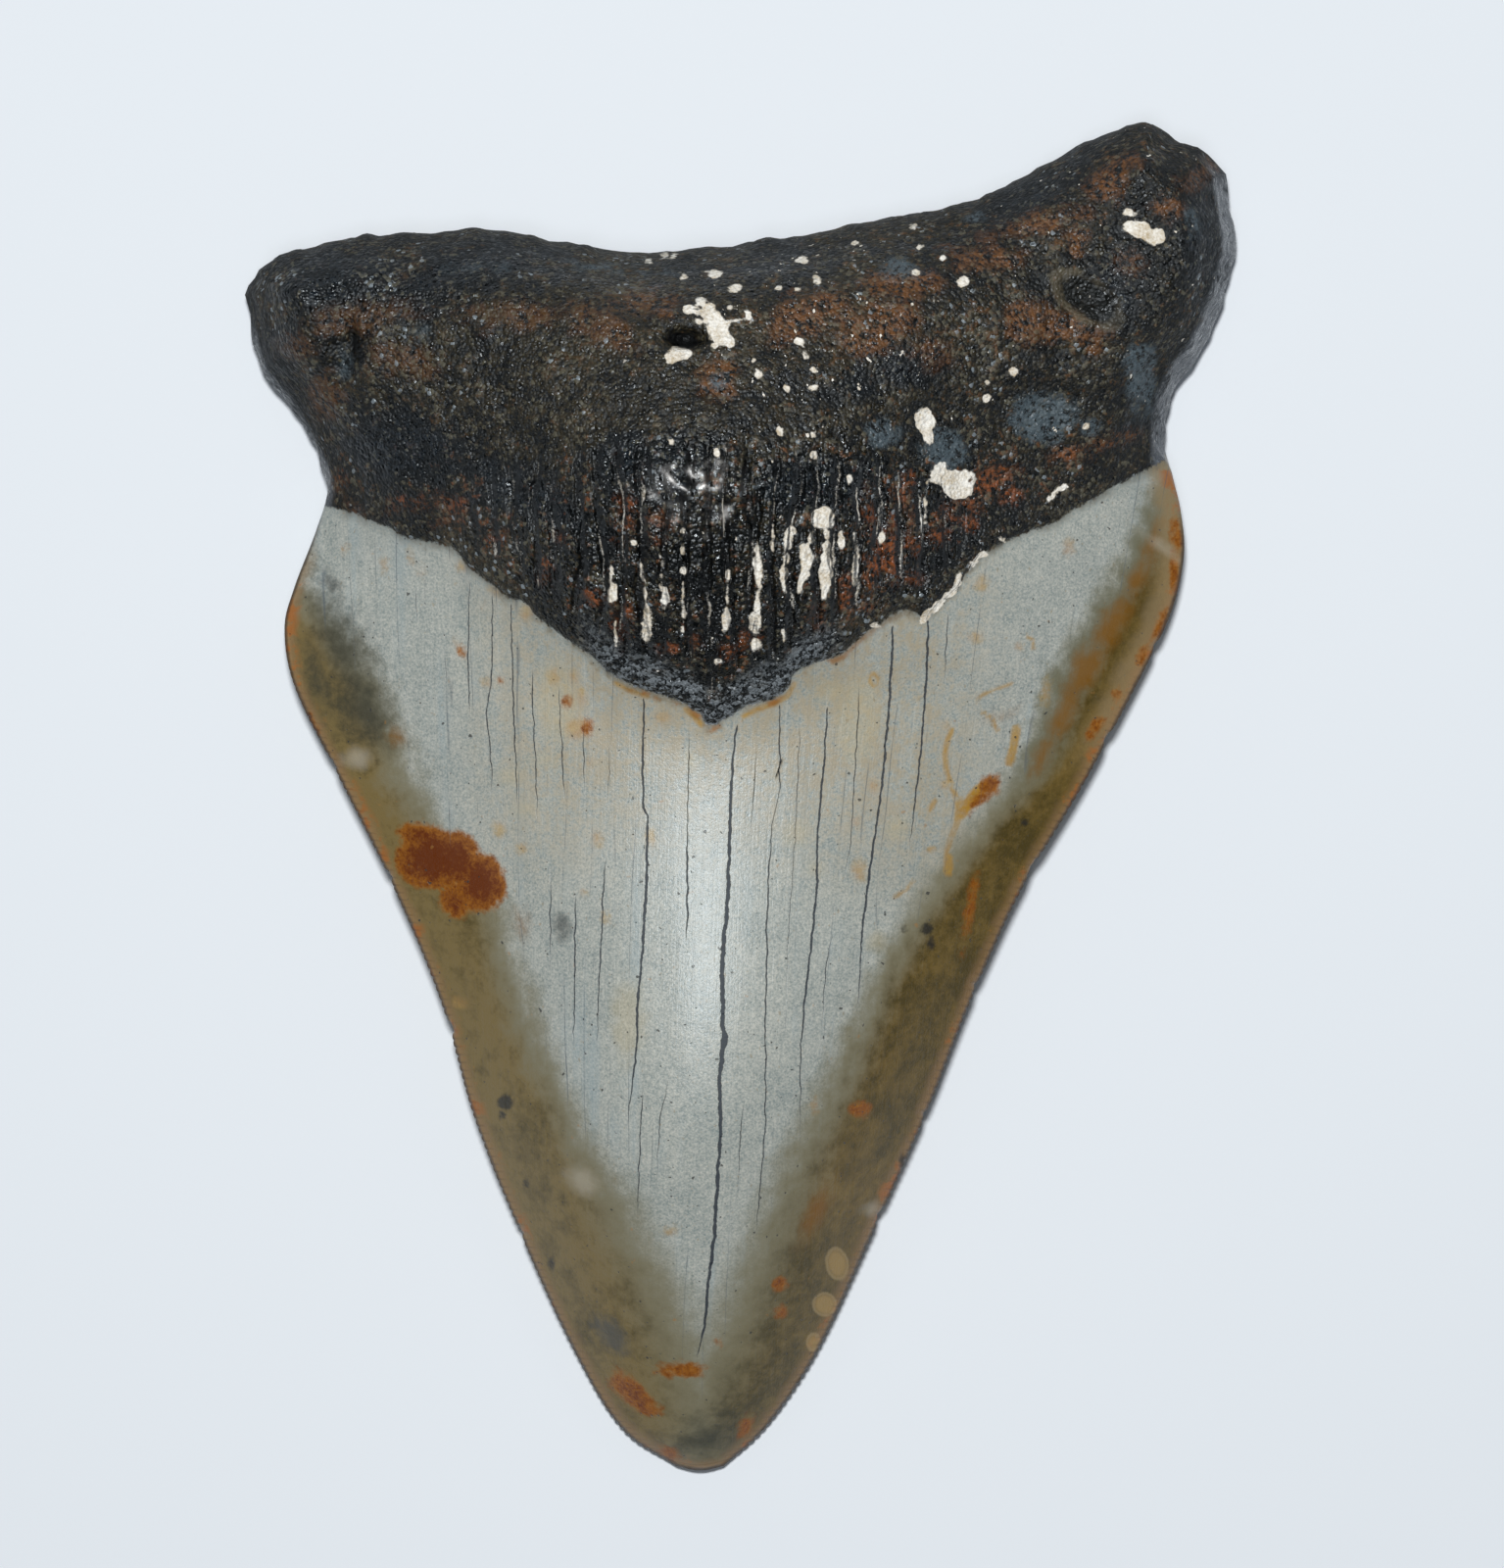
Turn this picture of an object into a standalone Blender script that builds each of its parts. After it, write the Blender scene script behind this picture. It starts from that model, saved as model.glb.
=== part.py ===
"""Megalodon tooth, lying on its labial face with the lingual face up and the tip towards -Y.

The tooth grew as one piece, crown and root, so it is one closed solid. Two flat grids, one for each face, are
joined along their border, refined, and then laid out in space. A grid point's own coordinates are u (left to
right), v (tip to the top of the root) and w (+1 on the lingual face, -1 on the labial face).
"""

import math

import bmesh
import bpy
import numpy as np
from mathutils import Matrix, Vector, noise

MM = 0.001

# Outline in plan, in mm, before the tooth is centred: the side edges run upwards from the tip, and the top
# edge runs from the left root lobe to the right one.
LEFT_EDGE = (
    (-4.6, -47.9), (-8.5, -45.2), (-11.9, -39.6), (-15.7, -31.2), (-19.0, -22.8), (-21.4, -14.4),
    (-24.9, -6.0), (-29.1, 2.4), (-31.8, 8.0), (-32.5, 12.0), (-31.8, 15.0), (-30.2, 19.2),
    (-29.5, 22.0), (-30.6, 24.8), (-32.1, 27.6), (-34.4, 30.6), (-35.2, 34.0), (-35.4, 36.2), (-34.6, 37.9),
)
RIGHT_EDGE = (
    (-1.2, -47.9), (1.9, -45.0), (5.5, -39.6), (9.4, -31.2), (13.3, -22.4), (16.4, -14.5),
    (20.0, -6.6), (24.4, 0.9), (28.2, 8.0), (30.6, 13.0), (31.6, 17.2), (31.4, 20.4), (30.8, 23.0),
    (30.5, 24.8), (30.6, 27.2), (31.3, 29.3), (33.0, 31.6), (34.2, 34.2), (35.0, 36.8), (35.5, 39.5),
    (35.1, 42.2), (34.8, 44.6),
)
TOP_EDGE = (
    (-34.6, 37.9), (-32.6, 39.0), (-29.8, 39.7), (-26.0, 40.3), (-17.5, 40.6), (-13.0, 39.9),
    (-7.6, 39.0), (-2.0, 39.5), (4.0, 40.2), (9.0, 41.3), (15.5, 42.5), (19.0, 43.9), (23.5, 46.4),
    (27.5, 48.1), (29.4, 48.2), (31.3, 47.0), (33.2, 46.2), (34.8, 44.6),
)
TIP_EDGE = ((-4.6, -47.9), (-2.9, -48.2), (-1.2, -47.9))
LEFT_SHOULDER_Y = 22.0
RIGHT_SHOULDER_Y = 24.8

# Where the enamel ends, as plan points from left to right, on the lingual and on the labial face.
LINGUAL_LINE = (
    (-29.5, 21.2), (-27.0, 20.4), (-24.9, 19.5), (-21.4, 18.0), (-17.2, 14.6), (-12.3, 11.1), (-7.4, 7.6),
    (-4.6, 6.4), (-3.2, 5.3), (-0.4, 5.5), (2.5, 6.9), (6.7, 9.4), (8.8, 10.6), (10.5, 12.4), (13.2, 13.2),
    (15.4, 15.0), (20.0, 18.5), (26.3, 21.6), (30.5, 24.2),
)
LABIAL_LINE = ((-29.5, 21.6), (-20.0, 25.2), (-10.0, 27.6), (0.0, 28.4), (10.0, 28.2), (20.0, 27.0), (30.5, 24.4))

# Heights above the surface the tooth lies on, in mm, as (y, height) from the tip upwards.
CROWN_RIDGE = (
    (-48.2, 1.3), (-47.0, 2.4), (-45.0, 4.0), (-42.0, 6.0), (-38.0, 8.3), (-33.0, 10.9), (-27.0, 13.3),
    (-22.0, 14.6), (-16.0, 15.2), (-10.0, 15.1), (-4.0, 14.7), (2.0, 14.4), (7.0, 14.6), (12.0, 15.6), (25.0, 17.0),
)
ROOT_RIDGE = (
    (0.0, 14.2), (5.0, 15.3), (10.0, 17.6), (15.0, 19.8), (20.0, 20.9), (23.0, 20.9), (27.0, 20.0),
    (32.0, 18.2), (36.0, 16.4), (40.0, 14.2), (49.0, 11.0),
)
CUTTING_EDGE = ((-48.2, 0.9), (-40.0, 2.0), (-30.0, 3.3), (-15.0, 4.6), (0.0, 4.8), (15.0, 4.2), (25.0, 3.4))
BLADE_THICKNESS = 0.22

SERRATIONS_PER_EDGE = 132
SERRATION_DEPTH = 0.15
LEDGE = 0.3

RIDGE_X = -2.5
RIDGE_HALF_WIDTH = 20.0
SHOULDER_HEIGHT = 6.5
LOBE_HEIGHT = 11.5
WALL_TOP = 5.0
WALL_FOOT = 2.6
WALL_LEAN = 0.8
TOP_ROUNDING = 6.5
FOOT_ROUNDING = 5.0

# Hollows and lumps of the lingual face, in mm: x, y, half width, half height, depth (negative) or rise.
FORAMEN = (-4.1, 32.6, 1.3, 0.75, -1.6)
PITS = (
    (-27.9, 31.4, 1.2, 2.0, -0.7),
    (24.8, 36.5, 2.0, 2.2, -0.6),
    (-23.0, 33.3, 1.0, 1.0, -0.3),
    (21.3, 27.0, 2.0, 2.0, -0.35),
)
LUMPS = (
    (-6.3, 21.6, 6.0, 5.0, 0.7),
    (-31.5, 36.2, 2.2, 2.0, 0.9),
    (-26.5, 37.5, 2.4, 1.8, 0.7),
    (28.4, 44.6, 3.0, 2.4, 0.9),
    (31.6, 38.0, 2.2, 4.5, 0.8),
    (-31.0, 30.0, 2.0, 3.0, 0.5),
    (13.0, 33.0, 5.0, 4.0, 0.5),
)
ROUGHNESS = 0.22
ROUGHNESS_SIZE = 4.5

# Where the labial face touches the surface: x, y, half width, half height, how far it is worn down.
CONTACTS = ((-3.0, -20.0, 7.0, 12.0, 1.2), (-24.5, 31.5, 6.5, 4.5, 1.6), (24.5, 35.5, 6.5, 5.0, 1.6))

COLUMNS = 14
CROWN_ROWS = 33
ROOT_ROWS = 7
SHOULDER_V = 0.8
LEDGE_V = 0.008
LONGEST = {"root": 1.9, "crown": 3.0, "labial": 3.4, "foramen": 0.55}


def clear_scene():
    for old in list(bpy.data.objects):
        bpy.data.objects.remove(old, do_unlink=True)


def smoothstep(low, high, value):
    share = np.clip((value - low) / (high - low), 0.0, 1.0)
    return share * share * (3.0 - 2.0 * share)


def spline(points, steps=24):
    """A smooth line through the points: Catmull-Rom, as dense points."""
    given = np.array(points, float)
    padded = np.vstack((2 * given[0] - given[1], given, 2 * given[-1] - given[-2]))
    t = np.linspace(0.0, 1.0, steps, endpoint=False)[:, None]
    runs = []
    for a, b, c, d in zip(padded, padded[1:], padded[2:], padded[3:]):
        runs.append(0.5 * (2 * b + (c - a) * t + (2 * a - 5 * b + 4 * c - d) * t**2 + (3 * b - a - 3 * c + d) * t**3))
    return np.vstack(runs + [given[-1:]])


def lengths(line):
    return np.concatenate(([0.0], np.cumsum(np.linalg.norm(np.diff(line, axis=0), axis=1))))


def at_share(line, share):
    """Points at these shares (0 to 1) of the line's length."""
    run = lengths(line)
    return np.stack([np.interp(share * run[-1], run, line[:, axis]) for axis in (0, 1)], axis=-1)


def profile(points, value):
    """A smooth height profile through (y, height) points."""
    line = spline(points)
    return np.interp(value, line[:, 0], line[:, 1])


LEFT = spline(LEFT_EDGE)
RIGHT = spline(RIGHT_EDGE)
TOP = spline(TOP_EDGE)
TIP = spline(TIP_EDGE)
RIM = np.vstack((LEFT[:-1], TOP[:-1], RIGHT[::-1][:-1], TIP[::-1][:-1]))
RIM_NORMALS = np.roll(RIM, -3, axis=0) - np.roll(RIM, 3, axis=0)
RIM_NORMALS = np.stack((-RIM_NORMALS[:, 1], RIM_NORMALS[:, 0]), axis=-1)
RIM_NORMALS /= np.linalg.norm(RIM_NORMALS, axis=1)[:, None]


def side_at(line, shoulder_y, v):
    """Points of a side edge at v, with the shoulder at SHOULDER_V."""
    run = lengths(line)
    shoulder = np.interp(shoulder_y, line[:, 1], run) / run[-1]
    return at_share(line, np.interp(v, (0.0, SHOULDER_V, 1.0), (0.0, shoulder, 1.0)))


def patch(u, v):
    """Plan points of a patch stretched between the four edges."""
    s = ((u + 1.0) / 2.0)[:, None]
    t = v[:, None]
    left = side_at(LEFT, LEFT_SHOULDER_Y, v)
    right = side_at(RIGHT, RIGHT_SHOULDER_Y, v)
    corners = (1 - s) * (1 - t) * LEFT[0] + s * (1 - t) * RIGHT[0] + (1 - s) * t * LEFT[-1] + s * t * RIGHT[-1]
    return (1 - s) * left + s * right + (1 - t) * at_share(TIP, s[:, 0]) + t * at_share(TOP, s[:, 0]) - corners


def plan(u, v, line):
    """Plan points with the row SHOULDER_V drawn along the line where the enamel ends."""
    points = patch(u, v)
    row = patch(u, np.full_like(v, SHOULDER_V))
    ends = np.array(line, float)
    drop = np.interp(row[:, 0], ends[:, 0], ends[:, 1]) - row[:, 1]
    drop *= 1.0 - np.abs(u) ** 12
    pull = np.where(v < SHOULDER_V, (v / SHOULDER_V) ** 1.5, (1.0 - v) / (1.0 - SHOULDER_V))
    points[:, 1] += drop * pull
    return points


def nearest_rim(points):
    """Distance to the outline, and the outline's outward direction there."""
    distance = np.empty(len(points))
    outward = np.empty((len(points), 2))
    for start in range(0, len(points), 4000):
        part = points[start:start + 4000]
        gaps = np.linalg.norm(part[:, None] - RIM[None], axis=2)
        near = gaps.argmin(axis=1)
        distance[start:start + 4000] = gaps[np.arange(len(part)), near]
        outward[start:start + 4000] = RIM_NORMALS[near]
    return distance, outward


def above_line(line, points):
    """Signed distance from the line where the enamel ends, positive on the root."""
    ends = np.array(line, float)
    return (points[:, 1] - np.interp(points[:, 0], ends[:, 0], ends[:, 1])) * 0.8


def crown_width(points):
    """Position across the crown at each point, from -1 on the left cutting edge to 1 on the right."""
    left = np.interp(points[:, 1], LEFT[:, 1], LEFT[:, 0])
    right = np.interp(points[:, 1], RIGHT[:, 1], RIGHT[:, 0])
    return np.clip((2 * points[:, 0] - left - right) / (right - left), -1.0, 1.0)


def mound(points, x, y, half_width, half_height):
    return np.exp(-(((points[:, 0] - x) / half_width) ** 2) - ((points[:, 1] - y) / half_height) ** 2)


def rough(points, size):
    return np.array([noise.noise(Vector((x / size, y / size, 3.7))) for x, y in points])


def lingual_height(points, distance):
    rooted = above_line(LINGUAL_LINE, points)
    across = np.abs(crown_width(points))
    edge = profile(CUTTING_EDGE, points[:, 1])
    crown = edge + BLADE_THICKNESS / 2
    crown += (profile(CROWN_RIDGE, points[:, 1]) - crown) * (1.0 - across**1.9) ** 1.12
    flank = SHOULDER_HEIGHT + (LOBE_HEIGHT - SHOULDER_HEIGHT) * smoothstep(20.0, 34.0, points[:, 1])
    hump = np.exp(-(np.abs(points[:, 0] - RIDGE_X) / RIDGE_HALF_WIDTH) ** 2.2)
    root = flank + (profile(ROOT_RIDGE, points[:, 1]) - flank) * hump
    for x, y, half_width, half_height, rise in LUMPS + PITS + (FORAMEN,):
        root += rise * mound(points, x, y, half_width, half_height)
    root += ROUGHNESS * rough(points, ROUGHNESS_SIZE) * smoothstep(0.0, 4.0, rooted)
    rounding = np.sqrt(1.0 - (1.0 - np.clip(distance / TOP_ROUNDING, 0.0, 1.0)) ** 2)
    root = WALL_TOP + (root - WALL_TOP) * rounding
    share = smoothstep(-4.0, 4.0, rooted)
    return crown * (1 - share) + root * share + LEDGE * smoothstep(0.0, 0.35, rooted) * smoothstep(0.0, 2.0, distance)


def labial_height(points, distance):
    rooted = above_line(LABIAL_LINE, points)
    across = np.abs(crown_width(points))
    edge = profile(CUTTING_EDGE, points[:, 1]) - BLADE_THICKNESS / 2
    crown = 0.7 + (edge - 0.7) * across**2.4
    foot = 1.0 + (WALL_FOOT - 1.0) * (1.0 - np.sqrt(1.0 - (1.0 - np.clip(distance / FOOT_ROUNDING, 0.0, 1.0)) ** 2))
    share = smoothstep(-4.0, 4.0, rooted)
    height = crown * (1 - share) + foot * share
    for x, y, half_width, half_height, wear in CONTACTS:
        height -= wear * mound(points, x, y, half_width, half_height) * smoothstep(0.0, 3.0, distance)
    return np.maximum(height, 0.0)


def place(grid):
    """Positions in mm for grid points (u, v, w)."""
    u, v, w = grid.T
    lingual = plan(u, v, LINGUAL_LINE)
    labial = plan(u, v, LABIAL_LINE)
    lingual_gap, lingual_out = nearest_rim(lingual)
    labial_gap, labial_out = nearest_rim(labial)
    on_root = smoothstep(-1.0, 1.5, above_line(LINGUAL_LINE, lingual)) * smoothstep(21.0, 25.0, lingual[:, 1])
    height = lingual_height(lingual, lingual_gap)
    lean = WALL_LEAN * on_root * (1.0 - smoothstep(0.0, 5.0, lingual_gap))
    lean *= 0.2 + 0.8 * smoothstep(0.3, 0.8, np.abs(lingual_out[:, 0]))
    lingual = lingual - lean[:, None] * lingual_out
    rim = (np.abs(u) > 0.9999) & (v < SHOULDER_V * 0.985)
    phase = v / SHOULDER_V * SERRATIONS_PER_EDGE
    notch = SERRATION_DEPTH * rim * np.abs(np.sin(math.pi * phase)) ** 0.7 * smoothstep(0.0, 0.03, v)
    lingual -= notch[:, None] * lingual_out
    labial -= notch[:, None] * labial_out
    top = np.column_stack((lingual, height))
    bottom = np.column_stack((labial, labial_height(labial, labial_gap)))
    share = ((w + 1.0) / 2.0)[:, None]
    return bottom * (1 - share) + top * share


def wanted_length(grid, middles):
    """The longest edge that is left undivided near each of these points."""
    rooted = above_line(LINGUAL_LINE, middles[:, :2]) > -1.0
    longest = np.where(rooted, LONGEST["root"], LONGEST["crown"])
    longest = np.where(grid[:, 2] < -0.99, LONGEST["labial"], longest)
    away = np.hypot(middles[:, 0] - FORAMEN[0], middles[:, 1] - FORAMEN[1])
    near_foramen = np.where(grid[:, 2] > 0.99, LONGEST["foramen"] + np.maximum(away - 1.5, 0.0), 99.0)
    return np.minimum(longest, near_foramen)


def arrays(mesh):
    mesh.verts.index_update()
    grid = np.array([vert.co for vert in mesh.verts])
    ends = np.array([(edge.verts[0].index, edge.verts[1].index) for edge in mesh.edges])
    return grid, ends


def face_grid(mesh, w):
    """One face's grid, its rows spaced so that one falls on each side of the ledge at the enamel's end."""
    rows = np.concatenate((np.linspace(0.0, SHOULDER_V, CROWN_ROWS + 1),
                           np.linspace(SHOULDER_V + LEDGE_V, 1.0, ROOT_ROWS)))
    made = bmesh.ops.create_grid(mesh, x_segments=COLUMNS, y_segments=len(rows) - 1, size=1.0,
                                 matrix=Matrix.Translation((0.0, 0.0, w)))
    for vert in made["verts"]:
        vert.co.y = rows[round((vert.co.y + 1.0) / 2.0 * (len(rows) - 1))]


def split(mesh, edges):
    bmesh.ops.subdivide_edges(mesh, edges=edges, cuts=1, use_grid_fill=True)
    many_sided = [face for face in mesh.faces if len(face.verts) > 4]
    bmesh.ops.triangulate(mesh, faces=many_sided)


def build_tooth():
    mesh = bmesh.new()
    face_grid(mesh, 1.0)
    face_grid(mesh, -1.0)
    border = [edge for edge in mesh.edges if edge.is_boundary]
    bmesh.ops.bridge_loops(mesh, edges=border)
    for _ in range(4):
        grid, ends = arrays(mesh)
        placed = place(grid)
        span = np.linalg.norm(placed[ends[:, 0]] - placed[ends[:, 1]], axis=1)
        middles = (placed[ends[:, 0]] + placed[ends[:, 1]]) / 2
        long = span > wanted_length((grid[ends[:, 0]] + grid[ends[:, 1]]) / 2, middles)
        if not long.any():
            break
        split(mesh, [edge for edge, is_long in zip(mesh.edges, long) if is_long])
    step = SHOULDER_V / (2 * SERRATIONS_PER_EDGE)
    for _ in range(4):
        blade = [edge for edge in mesh.edges
                 if abs(edge.verts[0].co.x) > 0.9999 and abs(edge.verts[1].co.x) > 0.9999
                 and edge.verts[0].co.x * edge.verts[1].co.x > 0
                 and max(edge.verts[0].co.y, edge.verts[1].co.y) < SHOULDER_V * 0.999
                 and abs(edge.verts[0].co.y - edge.verts[1].co.y) > step * 1.2]
        if not blade:
            break
        split(mesh, blade)
    grid, _ = arrays(mesh)
    placed = place(grid)
    low, high = placed.min(axis=0), placed.max(axis=0)
    placed -= ((low[0] + high[0]) / 2, (low[1] + high[1]) / 2, low[2])
    for vert, position in zip(mesh.verts, placed):
        vert.co = Vector(position) * MM
    bmesh.ops.triangulate(mesh, faces=mesh.faces, quad_method="SHORT_EDGE")
    bmesh.ops.recalc_face_normals(mesh, faces=mesh.faces)
    return mesh


def tooth_material():
    made = bpy.data.materials.new("tooth")
    made.use_nodes = True
    shader = made.node_tree.nodes["Principled BSDF"]
    shader.inputs["Base Color"].default_value = (0.17, 0.15, 0.12, 1.0)
    shader.inputs["Roughness"].default_value = 0.4
    shader.inputs["Metallic"].default_value = 0.0
    return made


def main():
    clear_scene()
    collection = bpy.data.collections.new("megalodon_tooth")
    bpy.context.scene.collection.children.link(collection)
    mesh = build_tooth()
    data = bpy.data.meshes.new("tooth")
    mesh.to_mesh(data)
    mesh.free()
    data.shade_smooth()
    tooth = bpy.data.objects.new("tooth", data)
    data.materials.append(tooth_material())
    collection.objects.link(tooth)


main()
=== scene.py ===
"""Looks of the megalodon tooth: the worn enamel crown and the pitted root as one fine mesh."""

import math

import bmesh
import bpy
import numpy as np
from mathutils import Matrix, Vector, kdtree, noise


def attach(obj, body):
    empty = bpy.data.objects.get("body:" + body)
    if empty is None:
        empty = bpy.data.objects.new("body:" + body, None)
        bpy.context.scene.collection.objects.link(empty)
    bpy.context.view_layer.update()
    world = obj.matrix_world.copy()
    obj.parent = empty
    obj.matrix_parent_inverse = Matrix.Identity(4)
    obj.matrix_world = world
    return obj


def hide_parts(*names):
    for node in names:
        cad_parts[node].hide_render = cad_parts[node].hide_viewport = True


MM = 0.001

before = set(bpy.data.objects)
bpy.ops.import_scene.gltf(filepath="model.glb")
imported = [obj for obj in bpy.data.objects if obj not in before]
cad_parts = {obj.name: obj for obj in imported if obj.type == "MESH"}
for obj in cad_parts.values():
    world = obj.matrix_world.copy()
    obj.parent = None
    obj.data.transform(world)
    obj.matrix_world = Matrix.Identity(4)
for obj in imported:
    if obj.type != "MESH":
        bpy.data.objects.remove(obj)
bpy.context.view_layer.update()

# ---------------------------------------------------------------- outline and heights, in mm

LEFT_EDGE = (
    (-4.6, -47.9), (-8.5, -45.2), (-11.9, -39.6), (-15.7, -31.2), (-19, -22.8), (-21.4, -14.4),
    (-24.9, -6), (-29.1, 2.4), (-31.8, 8), (-32.5, 12), (-31.8, 15), (-30.2, 19.2), (-29.5, 22),
    (-30.6, 24.8), (-32.1, 27.6), (-34.4, 30.6), (-35.2, 34), (-35.4, 36.2), (-34.6, 37.9),
)
RIGHT_EDGE = (
    (-1.2, -47.9), (1.9, -45), (5.5, -39.6), (9.4, -31.2), (13.3, -22.4), (16.4, -14.5), (20, -6.6),
    (24.4, 0.9), (28.2, 8), (30.6, 13), (31.6, 17.2), (31.4, 20.4), (30.8, 23), (30.5, 24.8), (30.6, 27.2),
    (31.3, 29.3), (33, 31.6), (34.2, 34.2), (35, 36.8), (35.5, 39.5), (35.1, 42.2), (34.8, 44.6),
)
TOP_EDGE = (
    (-34.6, 37.9), (-32.6, 39), (-29.8, 39.7), (-26, 40.3), (-17.5, 40.6), (-13, 39.9), (-7.6, 39),
    (-2, 39.5), (4, 40.2), (9, 41.3), (15.5, 42.5), (19, 43.9), (23.5, 46.4), (27.5, 48.1), (29.4, 48.2),
    (31.3, 47), (33.2, 46.2), (34.8, 44.6),
)
TIP_EDGE = ((-4.6, -47.9), (-2.9, -48.2), (-1.2, -47.9))
LEFT_SHOULDER_Y = 22.0
RIGHT_SHOULDER_Y = 24.8

# Where the enamel ends, on the lingual and on the labial face.
LINGUAL_LINE = (
    (-29.5, 20.7), (-28.2, 20.4), (-27.4, 20.25), (-26.5, 19.7), (-24.7, 19), (-24.1, 18.6), (-23.6, 18.3),
    (-21.2, 17.9), (-20.3, 17.6), (-19.7, 17.1), (-19.3, 16.4), (-17.9, 15.3), (-16.9, 14.5), (-16.2, 14),
    (-15.4, 13.8), (-14.9, 13.5), (-14.5, 12.9), (-12.1, 11), (-10.7, 10.2), (-9.3, 8.8), (-7.9, 8.05),
    (-5.2, 7.1), (-3.8, 6.6), (-3.3, 6.2), (-2.7, 5.9), (-2.6, 5.4), (-2.3, 5.15), (-1.7, 5.15),
    (-0.5, 5.8), (0.5, 6.5), (1.8, 6.75), (3.1, 7.4), (3.5, 7.9), (3.6, 8.5), (4.4, 9.1), (7.3, 10.15),
    (8.9, 11.7), (9.9, 12.2), (10.3, 12.7), (11.7, 13.3), (12.4, 12.9), (12.8, 12.4), (13.5, 13),
    (14.3, 14), (15.4, 14.8), (15.7, 15.6), (17.2, 17.3), (20.1, 18.7), (22.2, 19.4), (23.6, 20.4),
    (26.1, 21.8), (30.5, 24.2),
)
LABIAL_LINE = ((-29.5, 21.6), (-20, 25.2), (-10, 27.6), (0, 28.4), (10, 28.2), (20, 27), (30.5, 24.4))
CROWN_RIDGE = (
    (-48.2, 1.3), (-47, 2.4), (-45, 4), (-42, 6), (-38, 8.3), (-33, 10.9), (-27, 13.4), (-22, 14.8),
    (-16, 15.3), (-10, 14.9), (-4, 14.4), (2, 14.3), (7, 14.6), (12, 15.6), (25, 17),
)
ROOT_RIDGE = (
    (0, 14.2), (5, 15.3), (10, 17.6), (15, 19.8), (20, 20.9), (23, 20.9), (27, 20), (32, 18.2), (36, 16.4),
    (40, 14.2), (49, 11),
)
CUTTING_EDGE = ((-48.2, 0.9), (-40, 2), (-30, 3.3), (-15, 4.6), (0, 4.8), (15, 4.2), (25, 3.4))
BLADE_THICKNESS = 0.22
SERRATIONS_PER_EDGE = 132
SERRATION_DEPTH = 0.12
# Small chips of the cutting edges: side, y, half length, bite.
CHIPS = (
    (-1, -16.4, 0.5, 0.32), (-1, -5.6, 0.4, 0.2), (-1, 2.4, 0.5, 0.16), (-1, -31, 0.4, 0.16),
    (1, -4.9, 0.7, 0.2), (1, 4.2, 0.5, 0.22), (1, -13.4, 0.4, 0.16), (1, -29.8, 0.5, 0.22),
    (1, -22.6, 0.3, 0.16), (1, 10.8, 0.4, 0.18),
)
# How far the root's face steps up where the enamel ends.
LEDGE = 0.3
RIDGE_X = -2.5
RIDGE_HALF_WIDTH = 20.0
SHOULDER_HEIGHT = 6.5
LOBE_HEIGHT = 11.5
WALL_TOP = 5.0
WALL_FOOT = 2.6
WALL_LEAN = 0.8
TOP_LEAN_SHARE = 0.2
# How far the root stays inside its outline, above and below.
TOP_INSET = 0.12
FOOT_INSET = 0.15
TOP_ROUNDING = 6.5
FOOT_ROUNDING = 5.0
# Heights of the labial face's hollows, along the middle of the crown and under the root.
CROWN_HOLLOW = 0.7
ROOT_HOLLOW = 1.0
# Roughness of each part, as layers of noise: height, size across and along, and seed.
ROUGHNESS = {
    "crown": ((0.03, 2.2, 14, 21),), "lumps": ((0.24, 4.5, 4.5, 3.7), (0.2, 2.1, 1.7, 5)),
    "grains": ((0.14, 1, 1.1, 7),), "foot": ((0.12, 2.4, 1.8, 31), (0.06, 0.9, 0.9, 32)),
    "wall": ((0.3, 1.3, 1.3, 41), (0.22, 2.9, 2.9, 42)), "foot_wall": ((0.35, 1.6, 1.6, 43),),
    "wear": ((0.6, 2.5, 2.5, 51),),
}

# Hollows and lumps of the lingual face: x, y, half width, half height, depth (negative) or rise.
HOLLOWS_AND_LUMPS = (
    (-3.85, 32, 1.15, 0.6, -2), (-27.9, 31.4, 1, 2, -0.8), (-27.3, 32.7, 0.28, 1.1, -0.8),
    (24.2, 35.3, 1.7, 1.3, -0.9), (-23, 33.3, 1, 1, -0.3), (21.3, 27, 2, 2, -0.35),
    (-6.3, 21.6, 6, 5, 0.7), (-31.5, 36.2, 2.2, 2, 0.9), (-26.5, 37.5, 2.4, 1.8, 0.7),
    (28.4, 44.6, 3, 2.4, 0.9), (31.6, 38, 2.2, 4.5, 0.8), (-31, 30, 2, 3, 0.5), (13, 33, 5, 4, 0.5),
)
# Where the labial face is worn flat by what it lies on: x, y, half width, half height, wear.
CONTACTS = ((-3, -20, 7, 12, 1.2), (-24.5, 31.5, 6.5, 4.5, 1.6), (24.5, 35.5, 6.5, 5, 1.6))

# Furrows of the root, just above the enamel: they run along the tooth.
FURROW_PITCH = 1.5
FURROW_FIELD = (-3, 15.5, 20, 9)

# The floor and the view from above, in metres, and the view's middle on the marks, in mm.
FLOOR_HALF_WIDTH = 1.5
CAMERA_HEIGHT = 0.60
VIEW_HEIGHT = 0.112
VIEW_CENTRE = (0.00083, 0.00098)
FOCUS_HEIGHT = 0.003
SENSOR = 36.0
MARKS_MIDDLE = np.array((0.875, 0.98))

# Lights: name, place and width in metres, watts, colour. The world fills in only a little.
LIGHTS = (
    ("key", (-0.014, 0.105, 0.6), 0.07, 3.3, (1.0, 0.985, 0.965)),
    ("overhead", (-0.02, -0.06, 0.62), 0.14, 0.42, (0.93, 0.96, 1.0)),
)
WORLD_COLOUR = (0.86, 0.92, 1.0, 1.0)
WORLD_STRENGTH = 0.07

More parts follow.
